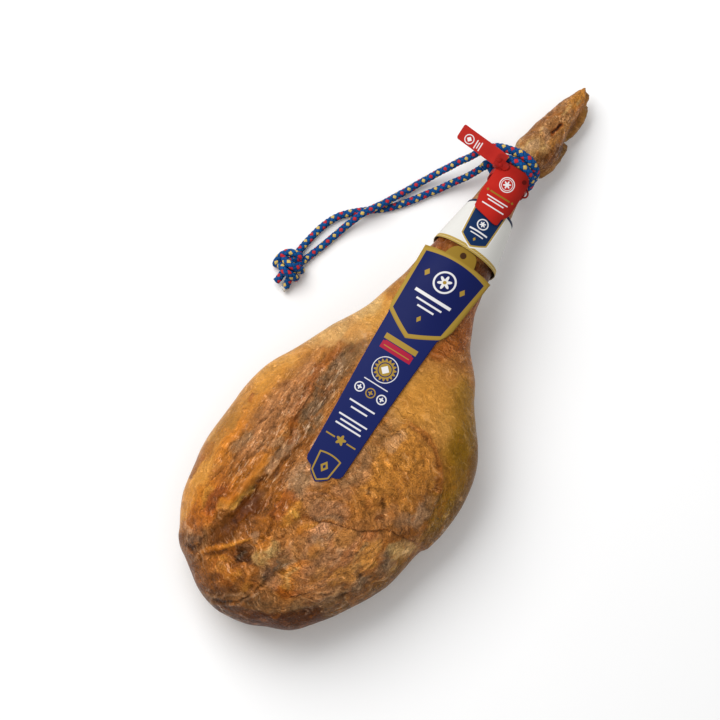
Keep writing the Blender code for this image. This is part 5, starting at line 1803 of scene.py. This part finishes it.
# A gold bar and a red band, a sunburst in a white ring, three small rings, bars, a star between two dashes,
# and the lozenge of the tail's shield.
STRIP_MARKS = [
    (bar, GOLD, 375.0, 0.0, 3.4, 21.5), (bar, INK_RED, 364.5, 0.0, 4.6, 20.5),
    (bar, INK_RED, 369.8, 0.0, 0.8, 18.0), (bar, GOLD, 364.5, 0.0, 0.5, 17.0),
    (ring, INK_WHITE, 340.0, 0.0, 15.4, 0.5), (petals, GOLD, 340.0, 0.0, 12.0, 16, 1.6),
    (ring, NAVY_STRIP, 340.0, 0.0, 8.2, 0.6), (lozenge, INK_WHITE, 340.0, 0.0, 5.5, 5.5),
    (bar, INK_WHITE, 320.0, 0.0, 0.6, 16.0),
    *((shape, dye, 308.0, across, *sizes)
      for across, dye in ((-15.0, INK_WHITE), (0.0, GOLD), (15.0, INK_WHITE))
      for shape, sizes in ((ring, (5.4, 0.7)), (petals, (2.2, 4, 0.9)))),
    *((bar, INK_WHITE, at, 0.0, 1.0, half)
      for at, half in ((290.0, 17.0), (283.0, 11.0), (270.0, 19.0), (264.5, 14.0), (259.0, 17.0))),
    (petals, GOLD, 243.0, 0.0, 5.0, 5, 1.5),
    (bar, GOLD, 243.0, -14.0, 0.9, 6.0), (bar, GOLD, 243.0, 14.0, 0.9, 6.0),
    (lozenge, GOLD, 207.0, 0.0, 7.0, 5.0), (lozenge, NAVY_STRIP, 207.0, 0.0, 3.0, 2.0),
]
print("marks on the label:", len(SHIELD_MARKS) + len(STRIP_MARKS))

# %% Card material
SHIELD_MIDDLE, SHIELD_LEAN = 24.0, 0.065
STRIP_FOOT, STRIP_MIDDLE, STRIP_LEAN = 200.0, 24.4, 0.004
TAB_FROM, TAB_FULL = 491.0, 496.0
HOLE = (500.8, 17.0)
HOLE_SHADED_HAM_INK, BOARD_INK = ink(72, 46, 26), ink(196, 190, 176)


def card_material():
    """The strip's colour and marks, the shield with its border over them, the tab, and bare board below."""
    material, wire, shader = new_material("printed_card", Specular_IOR_Level=0.05)
    u, v, face = wire.stored("print").parts()
    w = v - STRIP_MIDDLE + (u - STRIP_FOOT) * STRIP_LEAN
    colour = printed(wire.flat(NAVY_STRIP), u, w, STRIP_MARKS)
    depth = arched_depth(u, w, shield(u, w, *TAIL_SHAPE), *TAIL_TOP)
    colour = colour.mixed(GOLD, inside((depth - 2.4).maths("ABSOLUTE") - 0.95))
    w = v - SHIELD_MIDDLE + (u - SHIELD_SHAPE[0]) * SHIELD_LEAN
    sides = shield(u, w, *SHIELD_SHAPE)
    on_shield = inside(sides[0] * -1.0)
    depth = arched_depth(u, w, sides, *SHIELD_TOP)
    colour = printed(colour.mixed(NAVY, on_shield), u, w, SHIELD_MARKS)
    colour = colour.mixed(GOLD, inside(depth - 5.0) * on_shield)
    colour = colour.mixed(GOLD_DARK, inside(depth - 1.2) * on_shield * 0.4)
    colour = colour.mixed(GOLD_DARK, u.step(TAB_FROM, TAB_FULL) * 0.8)
    # The hole is a painted dark disc, the ham seen through it in painted shade, in a gold ring.
    colour = printed(colour, u, v, [(ring, GOLD_DARK, *HOLE, 4.3, 0.5), (disc, HOLE_SHADED_HAM_INK, *HOLE, 3.8)])
    colour = colour.mixed(BOARD_INK, inside(face - 0.5))
    place = wire.place()
    grain = place.noise(0.0009, 3)
    colour = colour.mixed((0.0, 0.0, 0.0), grain.step(0.55, 0.75) * 0.10)
    feed(wire, shader, Base_Color=colour, Roughness=0.34 + place.noise(0.02, 3) * 0.14,
         Normal=bumped(wire, grain, 0.0001, 0.3))
    return material


card.data.materials.append(card_material())
print("nodes in the card's material:", len(card.data.materials[0].node_tree.nodes))

# %% [markdown]
# ## The cone's print
#
# The cone is white with fine ribs. Its border is gold with a fine hatch, its rim dark blue, and the shield
# on top repeats the label's. The inside is bare paper.

# %% Cone material
CONE_MARKS = [
    (ring, INK_WHITE, 37.0, 0.0, 6.4, 0.7), (petals, INK_WHITE, 37.0, 0.0, 2.9, 6, 1.0),
    (bar, INK_WHITE, 26.5, 0.0, 1.0, 12.0), (bar, INK_WHITE, 22.0, 0.0, 0.7, 8.5),
    (lozenge, GOLD, 15.5, 0.0, 2.6, 1.8),
]
PAPER, RIB_PAINTED_SHADE, BARE_PAPER = ink(238, 236, 230), ink(205, 202, 196), ink(150, 140, 124)
BORDER_GOLD, BORDER_HATCH, BORDER_LINE = ink(204, 174, 92), ink(176, 144, 66), ink(228, 214, 170)
CONE_NAVY, RIM_NAVY = ink(16, 46, 90), ink(16, 26, 66)
BORDER_WIDTH, RIM_HALF = 5.6, 1.9
SHIELD_ROUND = 1.6
RIB_RATE, HATCH_RATES = 3.1, (2.6, 1.6)


def cone_material():
    """Ribbed white paper with a hatched gold border below, the shield on top, and a dark rim above."""
    material, wire, shader = new_material("printed_paper", Specular_IOR_Level=0.08)
    s, arc, outer = wire.stored("print").parts()
    arc = arc - SHIELD_ROUND
    ribs = (s * RIB_RATE).maths("SINE") * 0.5 + 0.5
    hatch = (s * HATCH_RATES[0] + arc * HATCH_RATES[1]).maths("SINE") * 0.5 + 0.5
    gold = wire.blend(BORDER_GOLD, BORDER_HATCH, hatch)
    # Painted shade in fine stripes along the ribs.
    colour = wire.blend(PAPER, RIB_PAINTED_SHADE, ribs * 0.16)
    colour = colour.mixed(gold, inside(s - BORDER_WIDTH))
    colour = colour.mixed(BORDER_LINE, inside((s - 2.4).maths("ABSOLUTE") - 0.22))
    point, side = shield(s, arc, *CONE_SHAPE)
    depth = point.maths("MINIMUM", side)
    colour = colour.mixed(INK_WHITE, inside(depth * -1.0 - 1.4))
    colour = colour.mixed(gold, inside(depth * -1.0))
    colour = printed(colour.mixed(CONE_NAVY, inside(2.0 - depth)), s, arc, CONE_MARKS)
    colour = colour.mixed(RIM_NAVY, inside((s - CONE_SLANT + RIM_HALF).maths("ABSOLUTE") - RIM_HALF))
    colour = colour.mixed(BARE_PAPER, inside(outer - 0.5))
    place = wire.place()
    feed(wire, shader, Base_Color=colour, Roughness=0.42 + place.noise(0.015, 3) * 0.15,
         Normal=bumped(wire, ribs * 0.7 + place.noise(0.0012, 3) * 0.3, 0.00012, 0.5))
    return material


cone.data.materials.append(cone_material())
print("nodes in the cone's material:", len(cone.data.materials[0].node_tree.nodes))

# %% [markdown]
# ## The seal
#
# The seal is moulded red plastic: a plate over the shank, a lock with studs, a strap round the shank and
# its free end, which stands out to the left as a flag. A small loop of it shows on the right of the plate.
# Each part is a thin sheet or a turned form, and one Boolean union makes them a single moulding.

# %% Lengths of the seal
# Place, left edge and right edge of each row of the plate.
PLATE_OUTLINE = places("""
551,8.5,5 552.5,16,2.6 555,27,2 557.8,35.8,1.9 560.5,37.6,1.7 564.5,37.8,-1.4 568,38.3,-3.2 572,39.7,-4.1
578,40.2,-4.4 595,39.3,-4.6 611,38,-4.4 616,37,-2 619,34.5,1.5 620.3,30,6
""")
PLATE_THICK, PLATE_BEND, PLATE_MIDDLE = 2.0, 33.0, 17.0
PLATE_ENDS = (103.0, 76.0)
PLATE_STOPS = np.arange(553.5, 620, 1.5)
PLATE_CELLS, BAND_CELLS, FLAG_CELLS = 33, 9, 25
BAND_CENTRE, BAND_HALF = (606.9, 17.2, 52.5), (22.9, 28.5)
BAND_WIDTH, BAND_THICK = 8.6, 1.4
BAND_TURN = np.radians(np.linspace(122, 418, 75))
FLAG_LINE = places("621.5,33,78.5 622.8,44,76.5 624.1,56,74.5 625.6,70,72 627.2,84,69 628.8,97,66")
FLAG_WIDTH, FLAG_THICK, FLAG_CORNER, FLAG_LENGTH = 19.5, 1.4, 2.2, 64.0
FLAG_UP = np.array([0.0, 0.15, 0.99])
LOOP_LINE = places("600,2,73 599.6,-5,69.5 602.4,-9.2,67 607.2,-9.2,66.5 610.4,-5,67.5 610.4,2,71")
LOOP_RADIUS, LOOP_SIDES = 1.1, 14
LOCK_LOW, LOCK_HIGH, LOCK_TAPER = (611.5, 27.0, 72.0), (624.4, 44.0, 82.0), 1.5
LOCK_EDGE, LOCK_STEPS = 1.2, 4
# Centre, radius and height of each stud.
STUDS = [((620.6, 40.5, 81.4), 3.4, 1.8), ((616.4, 36.0, 81.5), 2.9, 1.5), ((618.0, 30.5, 80.6), 4.6, 1.6)]
STUD_FOOT, STUD_SIDES, STUD_ROWS = 2.0, 28, 8
print("plate", round(PLATE_OUTLINE[-1][0] - PLATE_OUTLINE[0][0], 1), "mm long, flag", FLAG_WIDTH, "mm wide")


# %% Plate, strap and flag
def plate_grid(lift):
    """The plate's rows: straight along the shank, and an arc of the bend's radius over it."""
    place, left, right = np.array(PLATE_OUTLINE).T
    stops = np.sort(np.concatenate([place, PLATE_STOPS]))
    left, right = np.interp(stops, place, left)[:, None], np.interp(stops, place, right)[:, None]
    share = ((stops - stops[0]) / (stops[-1] - stops[0]))[:, None]
    ridge = PLATE_ENDS[0] + (PLATE_ENDS[1] - PLATE_ENDS[0]) * share
    x, y = from_seen(stops[:, None], right + (left - right) * np.linspace(0, 1, PLATE_CELLS), ridge)
    z = ridge - PLATE_BEND + np.sqrt(PLATE_BEND ** 2 - (y - PLATE_MIDDLE) ** 2) + lift
    return np.stack([np.broadcast_to(x.mean(axis=1)[:, None], y.shape), y, z], axis=-1)


def band_grid(lift):
    """The strap: an ellipse round the shank, sloped as the shank is."""
    rim = np.stack([np.zeros_like(BAND_TURN), np.cos(BAND_TURN), np.sin(BAND_TURN)], axis=1)
    centre = BAND_CENTRE + rim * (0.0, *BAND_HALF)
    centre[:, 0] += math.tan(SHANK_SLOPE) * BAND_HALF[1] * rim[:, 2]
    side = np.array([math.cos(SHANK_SLOPE), 0, -math.sin(SHANK_SLOPE)])
    across = np.linspace(-0.5, 0.5, BAND_CELLS) * BAND_WIDTH
    return (centre + rim * lift)[:, None] + across[None, :, None] * side


def flag_grid(lift):
    """The free end: a flat strip along its line, its corners rounded by a quarter circle."""
    line = smooth_route(FLAG_LINE, 1.0)
    to_end = np.clip(np.linspace(1, 0, len(line)) * FLAG_LENGTH / FLAG_CORNER, 0, 1)
    half = FLAG_WIDTH / 2 - FLAG_CORNER * (1 - np.sqrt(1 - (1 - to_end) ** 2))
    across = (np.linspace(-1, 1, FLAG_CELLS) * half[:, None])[..., None] * np.array([1.0, 0, 0])
    return (line + FLAG_UP * lift)[:, None] + across


# %% Lock, studs and loop
def dome(name, centre, radius, height):
    """A stud: a quarter circle turned about the upright, on a short foot."""
    angle = np.linspace(0, math.pi / 2, STUD_ROWS)[:-1, None]
    r = np.concatenate([[[radius]], radius * np.cos(angle)])
    z = np.concatenate([[[-STUD_FOOT]], height * np.sin(angle)])
    turn = np.linspace(0, 2 * math.pi, STUD_SIDES, endpoint=False)
    grid = np.stack(np.broadcast_arrays(r * np.cos(turn), r * np.sin(turn), z), axis=-1) + centre
    return make_round(name, grid, np.array([(0, 0, -STUD_FOOT), (0, 0, height)]) + centre)


def lock_box():
    """The lock housing: a block whose upper face is drawn in, with rounded edges."""
    (ax, ay, az), (bx, by, bz), t = LOCK_LOW, LOCK_HIGH, LOCK_TAPER
    points = [(ax, ay, az), (bx, ay, az), (bx, by, az), (ax, by, az),
              (ax + t, ay + t, bz), (bx - t, ay + t, bz), (bx - t, by - t, bz), (ax + t, by - t, bz)]
    faces = [(0, 3, 2, 1), (4, 5, 6, 7), (0, 1, 5, 4), (1, 2, 6, 5), (2, 3, 7, 6), (3, 0, 4, 7)]
    lock = make_piece("lock", points, [faces])
    bevel = lock.modifiers.new("soft edges", "BEVEL")
    bevel.width, bevel.segments = LOCK_EDGE * MM, LOCK_STEPS
    return lock


def strap_loop():
    """The small loop of the strap beside the plate: a round wire bent along its line."""
    line = smooth_route(LOOP_LINE, 0.5)
    _, across, up = path_frames(line)
    turn = np.linspace(0, 2 * math.pi, LOOP_SIDES, endpoint=False)[None, :, None]
    wire = line[:, None] + LOOP_RADIUS * (np.cos(turn) * across[:, None] + np.sin(turn) * up[:, None])
    return make_round("loop", wire, [line[0], line[-1]])


# %% One moulding
def fused(piece, others):
    """Join other closed meshes into a piece with one Boolean union."""
    group = bpy.data.collections.new(piece.name + "_parts")
    for other in others:
        bpy.context.scene.collection.objects.unlink(other)
        group.objects.link(other)
    bpy.context.scene.collection.children.link(group)
    union = piece.modifiers.new("join", "BOOLEAN")
    union.operation, union.solver = "UNION", "EXACT"
    union.operand_type, union.collection = "COLLECTION", group
    bpy.context.view_layer.update()
    result = bpy.data.meshes.new_from_object(piece.evaluated_get(bpy.context.evaluated_depsgraph_get()))
    piece.modifiers.clear()
    piece.data = result
    for other in others:
        bpy.data.objects.remove(other)
    bpy.data.collections.remove(group)
    return piece


def make_seal():
    """All parts of the seal as one moulding."""
    seal = thin_sheet("seal_moulding", plate_grid(0.0), plate_grid(PLATE_THICK))
    others = [thin_sheet("band", band_grid(0.0), band_grid(BAND_THICK)),
              thin_sheet("flag", flag_grid(0.0), flag_grid(FLAG_THICK)), lock_box()]
    others += [dome(f"stud_{number}", *stud) for number, stud in enumerate(STUDS, 1)]
    return fused(seal, others + [strap_loop()])


seal = make_seal()
stand_for(seal, "seal")


# %% Seal material
# On the plate a rosette in two rings, a gold bar with lozenges and white bars. On the flag a lozenge in a
# ring over three bars.
SEAL_MARKS = [
    (ring, INK_WHITE, 598.0, 17.5, 8.6, 0.55), (ring, INK_WHITE, 598.0, 17.5, 6.6, 0.35),
    (petals, INK_WHITE, 598.0, 17.5, 3.4, 6, 1.4), (bar, GOLD_DARK, 582.5, 17.5, 0.9, 13.0),
    (lozenge, GOLD_DARK, 582.5, 1.0, 1.8, 1.8), (lozenge, GOLD_DARK, 582.5, 34.0, 1.8, 1.8),
    *((bar, INK_WHITE, at, 17.5, 0.7, half)
      for at, half in ((576.5, 14.0), (573.0, 10.5), (566.5, 14.5))),
    (ring, INK_WHITE, 620.0, 83.0, 5.4, 0.5), (lozenge, INK_WHITE, 620.0, 83.0, 3.2, 3.2),
    *((bar, INK_WHITE, 619.0, across, half, 0.6)
      for across, half in ((73.5, 5.5), (70.5, 4.0), (67.5, 5.5))),
]
SEAL_RED, SEAL_DEEP, SEAL_PAINTED_SHADE = ink(205, 48, 38), ink(180, 34, 28), ink(112, 24, 20)
FLAG_SHADE, LOCK_SHADE, EYE_PAINTED_SHADE = ink(148, 20, 16), ink(142, 26, 22), ink(84, 18, 16)
LOCK_AT, GLOSS_AT, EYE_SEEN = (617.5, 38.0), (617.5, 29.0), (611.0, 2.0)
FACES_UP, SHARP_ANGLE = 0.1, 40


def seal_material():
    """Red plastic, clouded, with painted shade at the plate's right edge, by the rope and in the strap's
    eye, darker on the lock, and glossy on one stud."""
    material, wire, shader = new_material("red_plastic_seal", Specular_IOR_Level=0.03, Coat_Roughness=0.12)
    place = wire.place()
    fine = place.noise(0.0012, 3)
    u, v, face = wire.stored("print").parts()
    # Painted shade at the plate's lower right edge and beside the rope.
    right_edge_painted_shade = v.step(16.0, -6.0) * u.step(632.0, 610.0)
    shade = right_edge_painted_shade * 0.45 + u.step(598.0, 618.0) * v.step(34.0, 20.0) * 0.35
    colour = wire.blend(SEAL_RED, SEAL_DEEP, place.noise(0.02, 3)).mixed(SEAL_PAINTED_SHADE, shade)
    colour = colour.mixed(FLAG_SHADE, v.step(46.0, 56.0) * 0.15)
    colour = printed(colour, u, v, SEAL_MARKS, face)
    lock = disc(u, v, *LOCK_AT, 0.0).step(11.0, 8.0) * v.step(47.0, 43.0)
    colour = colour.mixed(LOCK_SHADE, lock * 0.6)
    # The strap's eye is not cut: a dark disc of painted shade stands in its place.
    colour = colour.mixed(EYE_PAINTED_SHADE, inside(disc(u, v, *EYE_SEEN, 2.8)) * face * 0.8)
    gloss = disc(u, v, *GLOSS_AT, 0.0).step(4.0, 1.5)
    feed(wire, shader, Base_Color=colour, Roughness=0.30 + fine * 0.12, Coat_Weight=gloss * 0.4,
         Normal=bumped(wire, fine, 0.0001, 0.4))
    return material


seal_up = np.empty(len(seal.data.vertices) * 3, np.float32)
seal.data.vertex_normals.foreach_get("vector", seal_up)
seal_place = np.stack([*as_seen(*points_of(seal).T), seal_up[2::3] > FACES_UP], axis=1)
give_values(seal, "print", seal_place, "FLOAT_VECTOR")
seal.data.materials.append(seal_material())
seal.data.set_sharp_from_angle(angle=math.radians(SHARP_ANGLE))
print("the finished seal has", len(seal.data.vertices), "points and", len(SEAL_MARKS), "printed marks")

# %% [markdown]
# ## Floor and light
#
# The photograph has a bare white ground and one broad soft light from the upper left. A large pale floor, a
# wide lamp on the ham's left and an even sky give the same gentle fall of light to the lower right.

# %% Floor
FLOOR_HALF = 6.0
FLOOR_CORNERS = [(x * FLOOR_HALF, y * FLOOR_HALF, 0.0) for x, y in ((-1, -1), (1, -1), (1, 1), (-1, 1))]
floor_mesh = bpy.data.meshes.new("floor")
floor_mesh.from_pydata(FLOOR_CORNERS, [], [(0, 1, 2, 3)])
floor = bpy.data.objects.new("floor", floor_mesh)
bpy.context.scene.collection.objects.link(floor)
floor_finish, floor_wire, floor_shader = new_material("pale_floor", Roughness=0.9, Specular_IOR_Level=0.1)
floor_clouds = floor_wire.place().noise(0.4, 2)
floor_tone = floor_wire.blend((0.93, 0.93, 0.93), (0.95, 0.95, 0.95), floor_clouds)
feed(floor_wire, floor_shader, Base_Color=floor_tone)
floor_mesh.materials.append(floor_finish)
print("floor of", 2 * FLOOR_HALF, "m")

# %% Lamp and sky
KEY_PLACE, KEY_SIZE, KEY_POWER = (0.35, 1.7, 2.3), 2.2, 76.0
SKY = 0.56
lamp = bpy.data.objects.new("lamp", bpy.data.lights.new("lamp", "AREA"))
bpy.context.scene.collection.objects.link(lamp)
lamp.data.size, lamp.data.energy = KEY_SIZE, KEY_POWER
lamp.location = KEY_PLACE
towards = np.array(KEY_PLACE) / np.linalg.norm(KEY_PLACE)
lamp.rotation_mode = "QUATERNION"
lamp.rotation_quaternion = Vector(towards).to_track_quat("Z", "Y")
world = bpy.data.worlds.new("sky")
world.use_nodes = True
sky = world.node_tree.nodes["Background"]
sky.inputs["Color"].default_value = (1, 1, 1, 1)
sky.inputs["Strength"].default_value = SKY
bpy.context.scene.world = world
bpy.context.scene.view_settings.view_transform = "Standard"
print("lamp at", round(float(np.linalg.norm(KEY_PLACE)), 2), "m from the ham, of", KEY_SIZE, "m")
